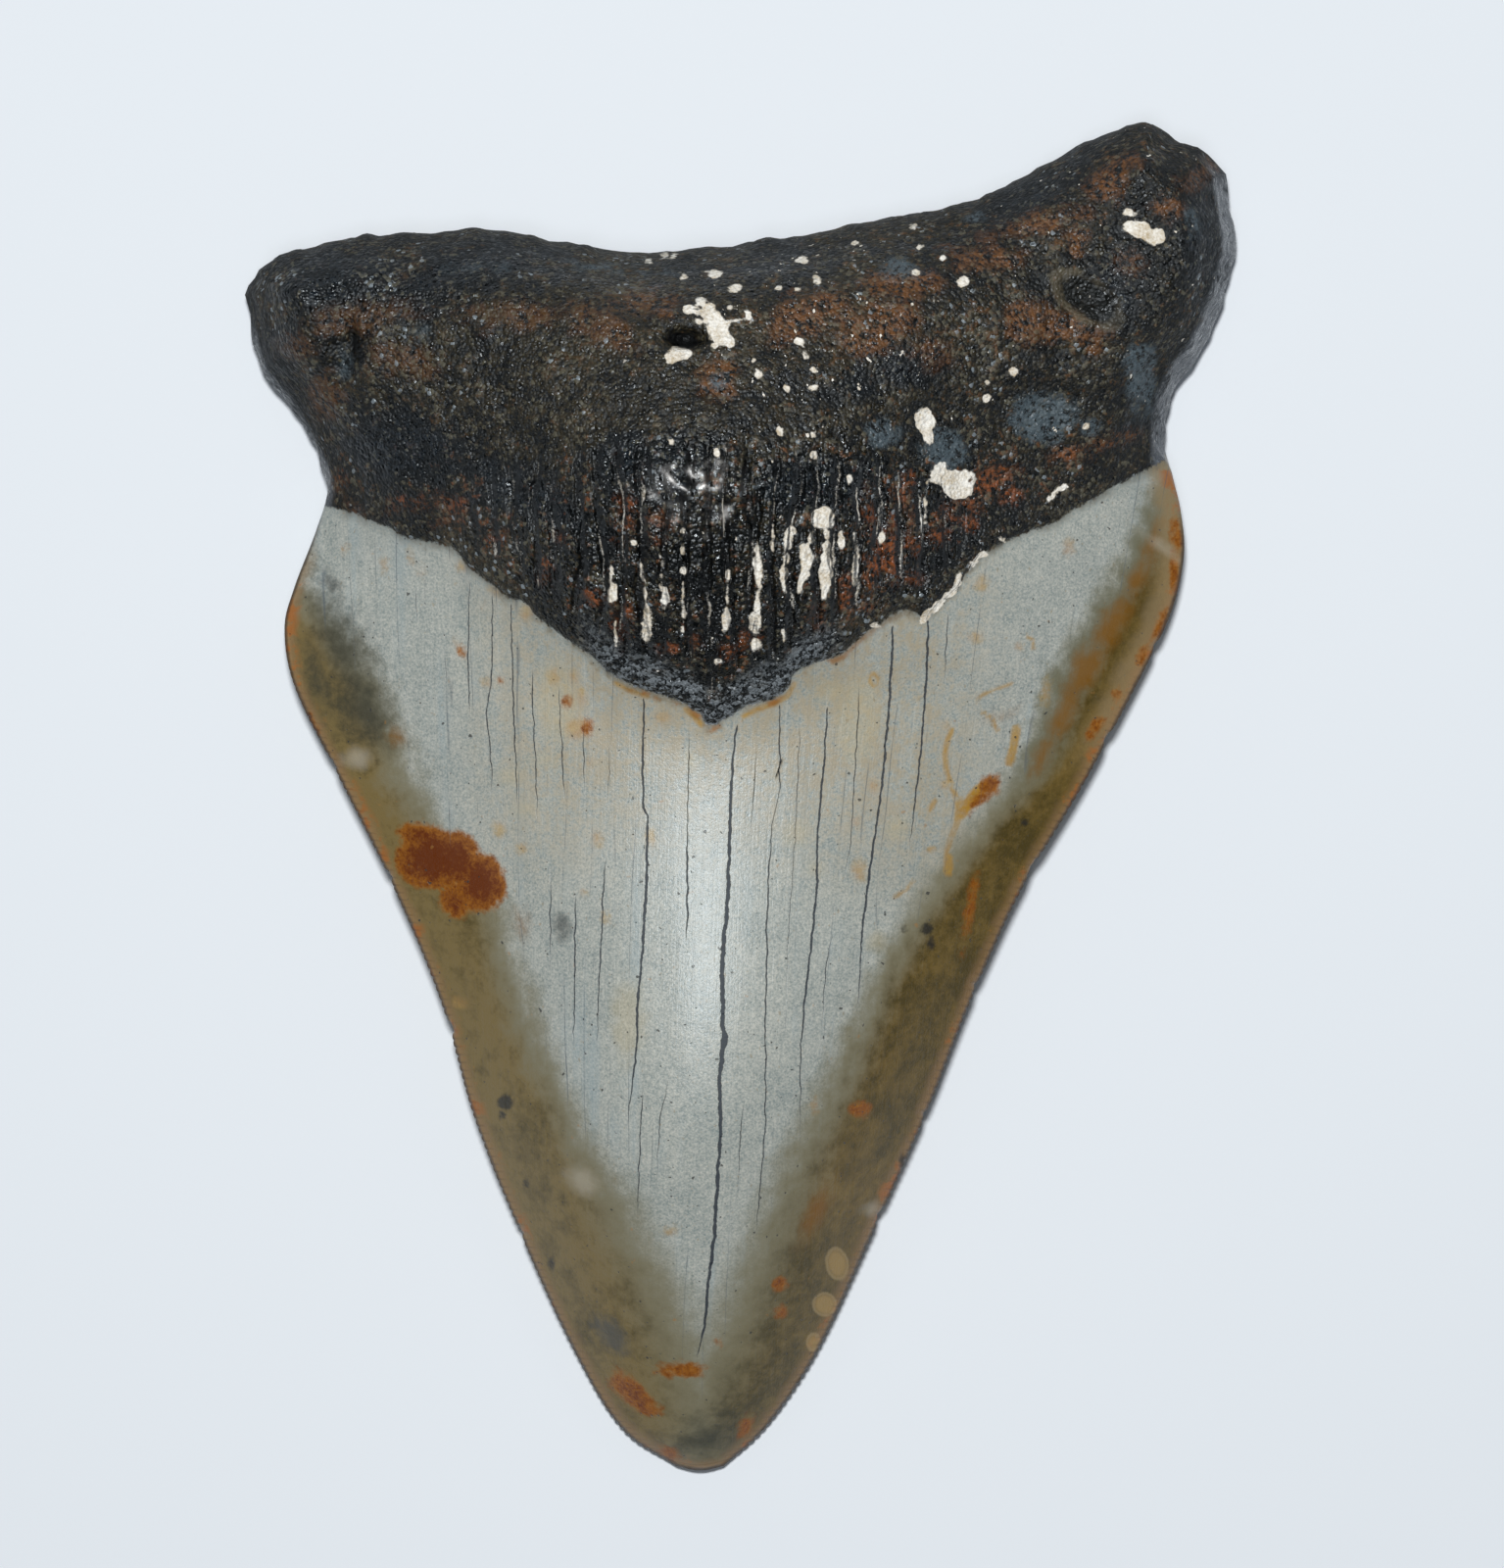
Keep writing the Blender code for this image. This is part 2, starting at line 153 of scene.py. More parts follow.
# Mesh sizes, and the longest edge left undivided in each region.
COLUMNS = 14
CROWN_ROWS = 33
ROOT_ROWS = 7
SHOULDER_V = 0.8
LEDGE_V = 0.004
LONGEST = {"root": 0.4, "crown": 0.55, "labial": 1.1, "furrows": 0.22}
# Across the grid, from -1 to 1, where the rim begins.
NEAR_RIM = 0.9999
# How often the whole grid, and then the cutting edges alone, may be divided.
GRID_ROUNDS = 8
BLADE_ROUNDS = 5

# ---------------------------------------------------------------- marks on the surface, in mm

# Each mark is x, y, half width, half height and, where it leans, degrees. First, chalk on the root.
CHALK = (
    (-7.6, 18.2, 0.26, 0.26), (-9.1, 14.5, 0.38, 0.66), (-9.2, 16, 0.12, 0.8), (-8.9, 11.6, 0.1, 0.7),
    (-7.1, 16.2, 0.17, 0.5, 15), (-6.7, 12, 0.38, 1.1, -3), (-6.8, 14.2, 0.11, 1, 3),
    (-5.35, 14.3, 0.26, 0.78), (-5.7, 16, 0.1, 0.9), (-4.15, 19, 0.17, 0.2), (-4.15, 17.8, 0.15, 0.35),
    (-4.05, 16.2, 0.28, 0.36), (-4.1, 14.8, 0.1, 0.8), (-4.05, 13.2, 0.17, 0.36), (-4.1, 12, 0.1, 0.6),
    (-0.95, 15.9, 0.2, 0.48), (-1, 12.7, 0.33, 0.8), (-0.95, 14.4, 0.1, 0.8), (1.25, 16.2, 0.29, 1.75, 3),
    (1, 12.4, 0.38, 0.8), (1.1, 10.9, 0.34, 0.5), (1.2, 14, 0.14, 1), (2.3, 19, 0.15, 0.56),
    (2.3, 17.7, 0.12, 0.4), (3.6, 19, 0.32, 0.54, -12), (3.3, 17.2, 0.2, 0.7), (3.1, 15.8, 0.22, 0.95),
    (4.75, 17.2, 0.5, 1), (4.4, 15.6, 0.26, 1, -12), (5, 18.6, 0.22, 0.5), (5.9, 19.95, 0.84, 0.84),
    (6.15, 18.8, 0.26, 0.4), (6.1, 17.85, 0.32, 0.5), (6.1, 16, 0.46, 1.3), (6, 14.6, 0.2, 0.7),
    (7.15, 18.3, 0.3, 0.8), (8.2, 16.3, 0.24, 0.95), (8.2, 18.3, 0.12, 0.5), (10.1, 18.5, 0.26, 0.5, -10),
    (3.1, 11.6, 0.12, 0.4), (-1.6, 9.7, 0.24, 0.22), (9.6, 12.3, 0.32, 0.18), (7.8, 22.7, 0.17, 0.28),
    (5.25, 24.5, 0.2, 0.38), (13.2, 20.6, 0.14, 0.9), (-4.3, 31.7, 0.95, 0.55), (-5, 31.4, 0.5, 0.4),
    (-3.7, 34.9, 0.42, 0.36), (-2.85, 35.35, 0.42, 0.32), (-2.7, 34.6, 0.5, 0.32), (-2.2, 35, 0.36, 0.36),
    (-2.9, 34.1, 0.32, 0.22), (-1.9, 34.3, 0.6, 0.55), (-1.6, 33.6, 0.8, 0.9, 10),
    (-1.4, 32.8, 0.75, 0.5, -20), (-0.8, 32.5, 0.4, 0.4), (-1.9, 32.3, 0.3, 0.22),
    (0.5, 34.4, 0.26, 0.62, 15), (-0.3, 34.1, 0.42, 0.18), (-0.6, 35, 0.24, 0.2), (0.9, 31.2, 0.18, 0.16),
    (1.3, 34.1, 0.2, 0.2), (-1.9, 37.4, 0.7, 0.25), (-0.4, 36.4, 0.5, 0.28, 10),
    (4.4, 38.4, 0.5, 0.22, 10), (5.4, 37, 0.35, 0.3), (4.1, 36.3, 0.3, 0.22), (2.7, 36.4, 0.24, 0.2),
    (4.2, 32.6, 0.42, 0.3), (4.7, 31.7, 0.24, 0.45, 20), (5.2, 30.6, 0.26, 0.26), (1.3, 30.3, 0.3, 0.32),
    (3.3, 29.2, 0.26, 0.36), (5.3, 29.3, 0.36, 0.22), (2.8, 26.2, 0.24, 0.42), (4.3, 25.5, 0.22, 0.24),
    (5.2, 26, 0.22, 0.24), (-4.9, 25.5, 0.24, 0.24), (-1.7, 24.7, 0.2, 0.34), (8.2, 39.6, 0.28, 0.24),
    (-5.4, 38.7, 0.3, 0.24), (-4.7, 38.7, 0.24, 0.2), (-6.6, 38.3, 0.24, 0.2), (-4.1, 37.2, 0.24, 0.2),
    (15.9, 36.8, 0.46, 0.44), (12.5, 37.5, 0.3, 0.24), (12.8, 39.3, 0.26, 0.2), (12.3, 40.8, 0.24, 0.2),
    (14.4, 38.6, 0.24, 0.2), (13.9, 35.6, 0.24, 0.24), (19.5, 30.4, 0.36, 0.4), (17.6, 28.5, 0.28, 0.34),
    (17.7, 29.6, 0.24, 0.2), (25.1, 32.1, 0.2, 0.2), (24.7, 26.5, 0.3, 0.3), (28.3, 40.6, 1.1, 0.6, -8),
    (29.6, 40.1, 0.7, 0.6), (27.8, 41.8, 0.5, 0.34), (13.2, 26.9, 0.75, 0.9, 10), (13.5, 25.7, 0.4, 0.5),
    (15.1, 22.9, 1.7, 0.55), (15.5, 22.2, 1.1, 0.9), (14.4, 23.6, 0.5, 0.4), (4.7, 16.7, 0.4, 1.4, -8),
    (3.5, 18.4, 0.28, 0.9, -15), (6.1, 17, 0.32, 1.1), (1.25, 13.2, 0.24, 1.3, 2), (8.25, 16.7, 0.2, 1.3),
    (3.2, 16.6, 0.16, 1.4),
)
# Chalk in strokes where the enamel ends, and ochre in strokes and thin loops on the crown: half width, then
# the points along each.
CHALK_STROKES = (
    (0.26, (13, 12.6), (13.4, 13.2)), (0.22, (13.4, 13.2), (13.9, 13.6), (14.4, 14)),
    (0.14, (14.6, 14.3), (15.1, 14.6)), (0.22, (15.2, 14.8), (15.6, 15.4), (15.7, 15.9)),
    (0.2, (16.4, 16.5), (16.9, 17.2)), (0.14, (16.9, 17.2), (17.5, 17.5)),
    (0.2, (22, 21.2), (22.4, 21.8), (23.2, 22.2)), (0.14, (18.6, 18.5), (18.8, 18.3)),
    (0.16, (9.4, 12.2), (9.9, 12.3)),
)
OCHRE_STROKES = (
    (0.16, (15.1, 4.8), (14.75, 4), (14.6, 3.1), (14.7, 2), (15.1, 0.8), (15.5, -0.3), (15.6, -1.2),
     (15.4, -2), (15, -2.9), (14.75, -3.8), (14.85, -4.8)),
    (0.3, (14.85, -4.4), (14.85, -5.3)), (0.4, (17.4, 0.8), (16.8, 0.2), (16.2, -0.5), (15.7, -1.2)),
    (0.1, (16.8, 6.9), (17.4, 7.4), (18.2, 7.8), (19.4, 8.1)), (0.12, (17.2, 6.2), (18, 5.6), (18.4, 4.7)),
    (0.1, (11, -7.1), (11.8, -6.6), (12.4, -5.9)), (0.1, (20.4, 11.6), (20.9, 11.2), (20.9, 10.6)),
    (0.1, (9.5, 8.9), (9.9, 8.5), (9.6, 7.9), (9.2, 8.3), (9.4, 8.9)),
    (0.28, (19.7, 4.9), (19.5, 3.6), (19.2, 2.5)),
    (0.16, (0.2, 5.8), (1.2, 6.3), (2.4, 6.7), (3.4, 7.3), (3.8, 8.1)),
    (0.18, (-3.9, 6.3), (-3.2, 5.7), (-2.8, 5.2)), (0.12, (-9, 8.2), (-7.8, 7.6), (-6.6, 7.2)),
    (0.2, (13.5, -3.7), (13.8, -3.7)), (0.14, (13.5, -0.9), (13.9, -0.2)),
)
# Small soft spots of tan and ochre on the crown.
TAN = (
    (-25.5, 16.7, 0.35, 0.5), (-28.3, 17.8, 0.3, 0.3), (-23.6, 17.1, 0.25, 0.45), (-22.9, 16.2, 0.3, 0.4),
    (-20.1, 10.6, 0.3, 0.7, 20), (-18.1, 8.2, 0.36, 0.34), (-17.5, 14.6, 0.5, 0.3, -30),
    (-15.3, 13.1, 0.45, 0.5), (-18.4, 13.6, 0.25, 0.25), (-19.9, 16.5, 0.5, 0.35, -30),
    (-11.7, 4.9, 0.8, 0.8), (-13.3, 8.6, 0.4, 0.6), (-11.9, 8.6, 0.35, 0.5), (-11.4, 7, 0.4, 0.7),
    (-10.6, 2.5, 0.35, 0.3), (-15.6, -3.6, 0.36, 0.34), (-17.2, -2.2, 0.4, 0.55), (-10.3, -2.9, 0.35, 0.5),
    (-6.4, -2.9, 0.26, 0.5, 10), (-11.3, -6.6, 0.2, 0.3), (-5.6, 5.7, 0.6, 0.4), (8.2, -1.7, 0.36, 0.36),
    (14.6, 0.9, 0.3, 0.3), (16.8, 11.5, 0.5, 0.36), (19.8, 10.8, 0.34, 0.34), (21.8, 7.5, 0.26, 0.55),
    (9.5, 0.8, 0.34, 0.5), (14.6, 5.1, 0.2, 0.24), (8.5, -5.3, 0.5, 0.7), (3.8, 4, 0.4, 0.26),
    (-20, -14.6, 0.5, 0.4), (-5, -31, 0.4, 0.3), (23.4, 17.8, 0.5, 0.7), (17.2, 15.3, 0.4, 0.5),
    (-9.6, -8.6, 0.26, 0.4), (5.3, -22, 0.3, 0.4),
)
# Wide clouds of pale ochre on the crown.
CREAM = (
    (-16.4, 1.5, 0.9, 0.6), (-15.4, -0.8, 0.9, 0.5), (-14, 2.7, 0.9, 0.5), (4, -2.5, 0.9, 0.8, 20),
    (5.4, -5, 0.6, 0.5), (11.2, -2.2, 0.8, 0.9), (6.6, 7.6, 1.2, 0.8), (-3.6, 2.7, 0.4, 0.6),
    (9.8, -10.2, 0.8, 0.7), (8.4, 5.6, 1.6, 3.4), (-13, 7, 1.6, 3), (-8, -16, 1.2, 3),
)
# Rust on the root.
RUST = (
    (-27.2, 34.4, 3.4, 1, 8), (-32, 32.2, 1.3, 1), (-29.6, 28.6, 1.2, 1.5), (-23.8, 31.2, 2.2, 1, -10),
    (-16.2, 34.4, 3.2, 0.8), (-10, 33.6, 2.6, 1.3, -30), (-7.4, 35.3, 2.4, 0.8), (-1.6, 29.8, 1.3, 1.5),
    (-5.4, 34.8, 0.5, 0.45), (4.6, 34.4, 3, 1.5, 25), (9.6, 33.6, 3.2, 1.8, 20), (11.4, 36.6, 2.4, 1.2),
    (13.6, 31.8, 1.5, 1), (-27.6, 20.6, 0.8, 0.45, -30), (-28.8, 22.2, 0.5, 0.7), (23.4, 24.4, 1, 0.5),
    (27, 25.5, 1.6, 0.35, 8), (26.4, 44.2, 2, 1, 40), (32.8, 44.4, 1.8, 0.7, 40), (23.9, 40, 0.8, 0.9),
    (27.8, 38.2, 0.9, 1), (21.2, 41, 3.2, 0.7, 12), (20.5, 34, 1.6, 1.6), (30.8, 42.2, 1, 0.8),
    (24, 33.4, 2.6, 1.2, -20), (17.2, 38.4, 2.4, 0.9), (-24.5, 20.9, 0.9, 0.5), (-21.7, 21.1, 0.8, 0.4),
    (-20.5, 20.8, 0.7, 0.5), (-21, 19.8, 0.7, 0.4), (9.1, 21.1, 0.25, 0.8), (9.2, 15.5, 0.25, 1),
    (9.9, 17.8, 0.22, 1), (10.7, 17.1, 0.4, 0.9), (11, 19.9, 0.35, 0.6), (12, 19.9, 0.35, 0.7),
    (12.3, 18.1, 0.4, 0.6), (14.4, 19.9, 0.45, 0.6), (13.9, 18.8, 0.6, 0.5), (16.2, 19.6, 0.6, 0.4),
    (19.3, 21.6, 0.6, 0.45), (7.4, 14.6, 0.4, 0.8), (5.5, 12.9, 0.3, 0.8), (8.8, 13.6, 0.6, 0.25),
    (12, 15.7, 0.7, 0.4), (-8.6, 11.5, 0.3, 1), (-5.3, 10.5, 0.35, 0.25), (-3.3, 10.9, 0.3, 0.4),
    (-0.6, 10.6, 0.7, 0.5, 20), (0.3, 11.3, 0.5, 0.4), (-8.3, 20.1, 0.5, 1.2), (-6, 20, 0.9, 0.35, -15),
    (-6, 18.6, 0.3, 0.4), (-17.4, 18.5, 0.4, 0.45), (-13, 18.6, 0.35, 0.3), (-13.9, 16.3, 0.3, 0.5),
    (-10.2, 14.4, 0.6, 0.4, -20), (-8.1, 13, 0.3, 0.6), (18, 22.6, 1.6, 0.8, 15), (11.6, 22, 0.6, 0.9),
    (16.6, 21, 0.9, 0.6),
)
# Bare blue-grey mineral on the root.
SLATE = (
    (21.6, 27.1, 2.5, 1.9), (28.6, 30.2, 1.2, 2.9, 4), (14.6, 24.7, 1.7, 1.6), (11.4, 37.8, 1.4, 0.8),
    (-23, 33.3, 0.7, 0.6), (-28.2, 30.6, 0.5, 1.3), (-9.6, 37.9, 3, 0.3, -4), (-19.4, 37.8, 1.6, 0.3),
    (32.2, 41.4, 0.5, 0.9), (25, 26.5, 0.7, 0.7), (16.8, 41.4, 0.9, 0.3), (-1.6, 29.7, 0.6, 0.55),
    (10.2, 26, 1.4, 1),
)
# Where the root is blue-black and shiny rather than brown; part of its blue is a painted sheen.
JET = (
    (-27.5, 37, 6.5, 1.9, -4), (-17.5, 38.2, 5, 1.3), (-24.5, 25.3, 4, 2, -8), (-5, 23.6, 4.6, 2.2),
    (5, 22.6, 3.8, 1.5), (33.4, 38.5, 1.5, 4.6), (-16, 21.5, 3, 1.2, -20), (11, 30.6, 3, 0.9, 20),
    (26.5, 36, 1.2, 2.6, -20), (2, 38.2, 4, 0.8, 5), (21.6, 43.6, 3.2, 0.8, 35), (-33.2, 31.5, 0.8, 2.4),
)
# Stains of the crown: orange-brown, grey, dark spots, and dark olive smoke at its left and at its tip.
ORANGE = (
    (31.2, 18.7, 0.25, 0.8, 10), (-22.1, -4.3, 2.45, 2.2), (-20.6, -4.2, 1.9, 1.7), (-18.6, -6.1, 1.8, 2),
    (-20.4, -7.4, 1, 1.1), (-20.4, -4.9, 1.9, 1.6), (-23.2, -2.7, 1.2, 0.9), (17.9, 0.9, 0.62, 0.7),
    (17, -0.1, 0.75, 0.3, 45), (-4.4, -40.9, 1.25, 0.42), (-7.6, -42.6, 1.9, 0.7, -42),
    (0.4, -45, 0.35, 0.7, -20), (-5.1, -46.9, 0.6, 0.36, -30), (8.5, -22.3, 0.55, 0.45),
    (2.8, -34.7, 0.4, 0.36), (2.9, -36.7, 0.36, 0.36), (-30.9, 5.2, 0.35, 0.9, 30), (31, 15.6, 0.2, 0.9),
    (30.1, 12.4, 0.2, 0.6, -20), (28.7, 10.2, 0.3, 0.5, -30), (26.9, 7.4, 0.34, 0.4),
    (25.3, 5, 0.25, 0.6, -30), (-1.6, -38.9, 0.24, 0.24), (-20, 10.5, 0.3, 0.34), (-12.2, 6.9, 0.34, 0.4),
    (-17.1, 8.3, 0.3, 0.2), (-10.9, 4.9, 0.3, 0.42), (16.4, -8, 0.2, 1.3, -10),
)
GREY = ((-12.8, -9.3, 0.7, 1.1), (-9.2, -38.4, 0.9, 1.7, 40), (-29.5, 15.3, 1, 0.34, -8))
DARK = (
    (13.3, -9.4, 0.45, 0.36), (13.6, -10.4, 0.3, 0.45), (11.65, -9.4, 0.2, 0.2), (20.3, -1.8, 0.26, 0.22),
    (-16.8, -21.8, 0.6, 0.5), (-17, -22.7, 0.3, 0.3), (-13.5, -33.3, 0.25, 0.45), (11.6, -26, 0.26, 0.5),
    (-15.4, -27.6, 0.2, 0.3), (12.9, -25.4, 0.15, 0.4),
)
SMOKE = (
    (-28.6, 10.6, 1.5, 3.6, 24), (-27, 6.2, 1.6, 2.6, 30), (-30.2, 8.6, 0.8, 2.6, 14),
    (-2.4, -45.9, 1.9, 0.9, 15),
)
# Pale worn patches and amber chips at the cutting edges.
PALE = (
    (-27.4, 2.9, 1, 0.8), (-11.3, -27.4, 1.3, 0.9, -30), (9.3, -29.4, 0.5, 0.34, 20),
    (29.9, 18.1, 1.2, 0.2, -35),
)
AMBER = ((6.9, -33.3, 0.75, 1.1, 10), (6, -36.2, 0.8, 0.8), (5.2, -38.9, 0.45, 0.6))
# Ochre soaked into the crown's margins.
OCHRE = (
    (29.5, 18.6, 0.3, 1.8, -22), (28.4, 15.8, 0.6, 1.9, -28), (26.6, 12.4, 0.9, 2.3, -31),
    (24.7, 9.2, 1, 2, -31), (23.2, 6.2, 0.7, 1.7, -24), (21.6, 3, 0.4, 1.2, -24), (-24.6, 4.4, 0.6, 0.5),
    (5.4, -29.6, 0.6, 1.8, -25), (-15.6, -9, 0.3, 0.6, 10), (18.4, 5.8, 0.5, 0.14, 20),
)
# Cracks in the crown, from left to right: x, y and half the width, down each. It is closed where that is 0.
CRACKS = (
    ((-23.2, 15.7, 0), (-23.2, 14.2, 0.025), (-23.1, 10.8, 0)),
    ((-21.2, 12, 0), (-21.1, 9.5, 0.02), (-21, 5, 0)),
    ((-19.4, 15.4, 0.02), (-19.5, 10, 0.045), (-19.4, 7.2, 0.03), (-19.4, 5, 0)),
    ((-17.7, 14.6, 0.03), (-17.8, 8, 0.04), (-18.2, 6.2, 0.04), (-17.8, 2.3, 0.03), (-17.8, -1, 0)),
    ((-16.4, 13.8, 0.03), (-16.2, 5.5, 0.045), (-16, 1.3, 0.03), (-16, -2, 0)),
    ((-14.9, 10, 0), (-14.9, 7.7, 0.035), (-14.6, 1, 0.03), (-14.5, -3, 0), (-14.9, -14, 0)),
    ((-13, 8, 0.02), (-12.7, 2, 0.035), (-12.6, -1, 0), (-13.5, -4.2, 0), (-13.6, -8, 0.035),
     (-13.6, -14.6, 0)),
    ((-11.2, 7, 0), (-11.2, 3, 0.03), (-11.1, -1, 0), (-11.8, -6, 0), (-11.8, -9, 0.045),
     (-11.9, -15, 0.04), (-12, -19, 0)),
    ((-9.3, 6, 0), (-9.4, 2, 0.02), (-9.6, -3.6, 0), (-9.8, -6.4, 0.045), (-10, -11, 0.045),
     (-10.2, -15, 0.03), (-10.3, -20, 0)),
    ((-6.9, 7, 0.05), (-7, 3, 0.07), (-6.95, -0.6, 0.07), (-6.65, -1.3, 0.07), (-6.7, -5.8, 0.1),
     (-7, -10.6, 0.1), (-7.1, -12, 0.08), (-7.4, -15, 0.09), (-7.4, -17.5, 0.07), (-7.7, -20, 0.05),
     (-8.2, -24.5, 0)),
    ((-5.5, 6, 0), (-5.6, -10, 0), (-6.9, -20, 0), (-7.1, -22.5, 0.035), (-7.3, -28, 0.03), (-7.4, -31, 0)),
    ((-3.7, 6, 0), (-3.7, 3, 0.025), (-3.8, -2.5, 0.02), (-3.8, -4, 0.055), (-3.8, -8.5, 0.05),
     (-3.9, -10.6, 0), (-4.6, -18, 0), (-5.8, -23, 0.03), (-6.1, -30, 0)),
    ((-0.3, 5, 0.06), (-0.6, 2.2, 0.08), (-0.7, 0, 0.1), (-0.8, -4.3, 0.11), (-0.9, -7.3, 0.14),
     (-1.2, -10, 0.15), (-1.3, -12.4, 0.16), (-1.3, -16.4, 0.15), (-1.1, -17.1, 0.26), (-1.25, -17.8, 0.2),
     (-1.5, -20.1, 0.15), (-1.4, -23.8, 0.13), (-1.6, -26.6, 0.13), (-1.8, -30.5, 0.13), (-2.2, -34, 0.11),
     (-2.6, -37.8, 0.08), (-3.2, -40.4, 0)),
    ((1.2, 5, 0), (1, 1, 0.025), (0.5, -5, 0), (0.4, -20, 0), (0, -24, 0.03), (-0.3, -31, 0)),
    ((2.8, 6.6, 0.03), (2.8, 3, 0.045), (2.8, 0.4, 0.02), (2.3, -1.6, 0.02), (2, -5.3, 0.04),
     (1.9, -8.8, 0.05), (1.8, -15, 0.04), (1.8, -23.4, 0.035), (1.3, -29, 0.03), (1, -32, 0)),
    ((4.3, 7, 0), (4.2, 4, 0.02), (3.9, -3, 0.02), (3.4, -10, 0.02), (3.1, -20, 0)),
    ((6.2, 6.4, 0.04), (6, 2.8, 0.06), (5.7, -0.8, 0.07), (5.5, -2.6, 0.06), (5.5, -6, 0.08),
     (5.3, -8.3, 0.07), (4.9, -12, 0.08), (4.5, -15.5, 0.06), (4.3, -18, 0.04), (4.2, -27, 0)),
    ((8.5, 9.4, 0), (8.4, 6, 0.03), (7.9, -3.2, 0.025), (7, -8, 0), (6.1, -12, 0.03), (5.6, -20, 0)),
    ((10.9, 12.2, 0.06), (10.8, 9.6, 0.09), (10.5, 5.2, 0.08), (10.15, 1.2, 0.08), (9.7, -2.2, 0.06),
     (9.2, -5.4, 0.09), (8.8, -8.8, 0.07), (8.6, -11.3, 0.05), (8.3, -16.4, 0)),
    ((13.4, 13.4, 0.06), (13.35, 9.6, 0.08), (13.2, 7.2, 0.07), (12.9, 3.2, 0.06), (12.5, -0.3, 0.05),
     (12, -4.6, 0)),
    ((14.8, 13.2, 0.02), (14.7, 10.6, 0.03), (14.5, 7, 0)),
)
# Where the grey core of the crown gives way to the olive-brown margins: points down each side.
CORE_LEFT = (
    (-33.2, 22), (-32.6, 15.5), (-29, 11.5), (-27, 8), (-25.4, 4.5), (-24.6, 1), (-22.4, -2.5), (-19, -6),
    (-17.9, -9.5), (-16.8, -13), (-15.4, -16.5), (-14, -20), (-12.6, -23.5), (-10.9, -27), (-9.3, -30.5),
    (-7.5, -34), (-6.1, -37.5), (-4.6, -41), (-3.9, -44), (-3.4, -48.5),
)
CORE_RIGHT = (
    (31, 23), (29.6, 18.5), (27.6, 15), (25.4, 11.5), (23.8, 8), (22.2, 4.5), (20.3, 1), (17.6, -2.5),
    (14.8, -6), (12.6, -9.5), (10.6, -13), (9.1, -16.5), (7.7, -20), (6, -23.5), (4.3, -27), (3.2, -30.5),
    (2, -34), (0.6, -37.5), (-1, -41), (-2.2, -44), (-2.6, -48.5),
)
# The true distance from a slanting line, as a share of the upright or the level one.
LINE_SLANT = 0.8
CORE_SLANT = 0.9
# The glossy swelling of the root above the enamel.
TORUS = ((-3, 16, 13, 9), (6, 18, 12, 7, 20))
TORUS_TOP = ((-4, 21.5, 5, 3.6),)
# Holes, coloured near-black as painted shade in them, and the shallow pit with a pale rim.
HOLES = ((-4.1, 32.65, 1.05, 0.5, -10), (-27.6, 32.6, 0.22, 0.8, 12), (-27.1, 31.5, 0.18, 0.7, -5))
PIT = ((24.8, 35.6, 2.3, 1.2, -36),)

MARKS = {
    "chalk": CHALK, "tan": TAN, "cream": CREAM, "rust": RUST, "slate": SLATE, "jet": JET, "orange": ORANGE,
    "grey": GREY, "dark": DARK, "smoke": SMOKE, "pale": PALE, "amber": AMBER, "ochre": OCHRE, "torus": TORUS,
    "torus_top": TORUS_TOP, "painted_hole_shade": HOLES, "pit": PIT,
}
# What stands for the distance to a mark where none is near.
NO_MARK = 9.0
# The crown's grain leans by this much at its middle, and by this much more per mm to the right.
GRAIN_LEAN = 0.05
GRAIN_SPREAD = 0.0038
# How far beyond the outermost cracks the surface without cracks begins, in mm.
FAR = 40.0

# ---------------------------------------------------------------- the form


def smoothstep(low, high, value):
    share = np.clip((value - low) / (high - low), 0, 1)
    return share * share * (3 - 2 * share)


def rounded(distance, radius):
    """A quarter round's height, 0 at its foot and 1 from this radius inward."""
    return np.sqrt(1 - (1 - np.clip(distance / radius, 0, 1)) ** 2)


def spline(points, steps=24):
    """A smooth line through the points: Catmull-Rom, as dense points."""
    given = np.array(points, float)
    padded = np.vstack((2 * given[0] - given[1], given, 2 * given[-1] - given[-2]))
    t = np.linspace(0, 1, steps, endpoint=False)[:, None]
    runs = []
    for a, b, c, d in zip(padded, padded[1:], padded[2:], padded[3:]):
        curve = 2 * b + (c - a) * t + (2 * a - 5 * b + 4 * c - d) * t**2 + (3 * b - a - 3 * c + d) * t**3
        runs.append(0.5 * curve)
    return np.vstack(runs + [given[-1:]])


def lengths(line):
    return np.concatenate(([0], np.cumsum(np.linalg.norm(np.diff(line, axis=0), axis=1))))


def at_share(line, share):
    """Points at these shares (0 to 1) of the line's length."""
    run = lengths(line)
    return np.stack([np.interp(share * run[-1], run, line[:, axis]) for axis in (0, 1)], axis=-1)


def read_line(line, value, axis=0):
    """The line's other coordinate where the one of this axis has these values, which rise along the line."""
    ends = np.array(line, float)
    return np.interp(value, ends[:, axis], ends[:, 1 - axis])


LEFT = spline(LEFT_EDGE)
RIGHT = spline(RIGHT_EDGE)
TOP = spline(TOP_EDGE)
TIP = spline(TIP_EDGE)
RIM = np.vstack((LEFT[:-1], TOP[:-1], RIGHT[::-1][:-1], TIP[::-1][:-1]))
RIM_OUTWARD = np.roll(RIM, -3, axis=0) - np.roll(RIM, 3, axis=0)
RIM_OUTWARD = np.stack((-RIM_OUTWARD[:, 1], RIM_OUTWARD[:, 0]), axis=-1)
RIM_OUTWARD /= np.linalg.norm(RIM_OUTWARD, axis=1)[:, None]
RIM_TREE = kdtree.KDTree(len(RIM))
for number, (rim_x, rim_y) in enumerate(RIM):
    RIM_TREE.insert((rim_x, rim_y, 0), number)
RIM_TREE.balance()


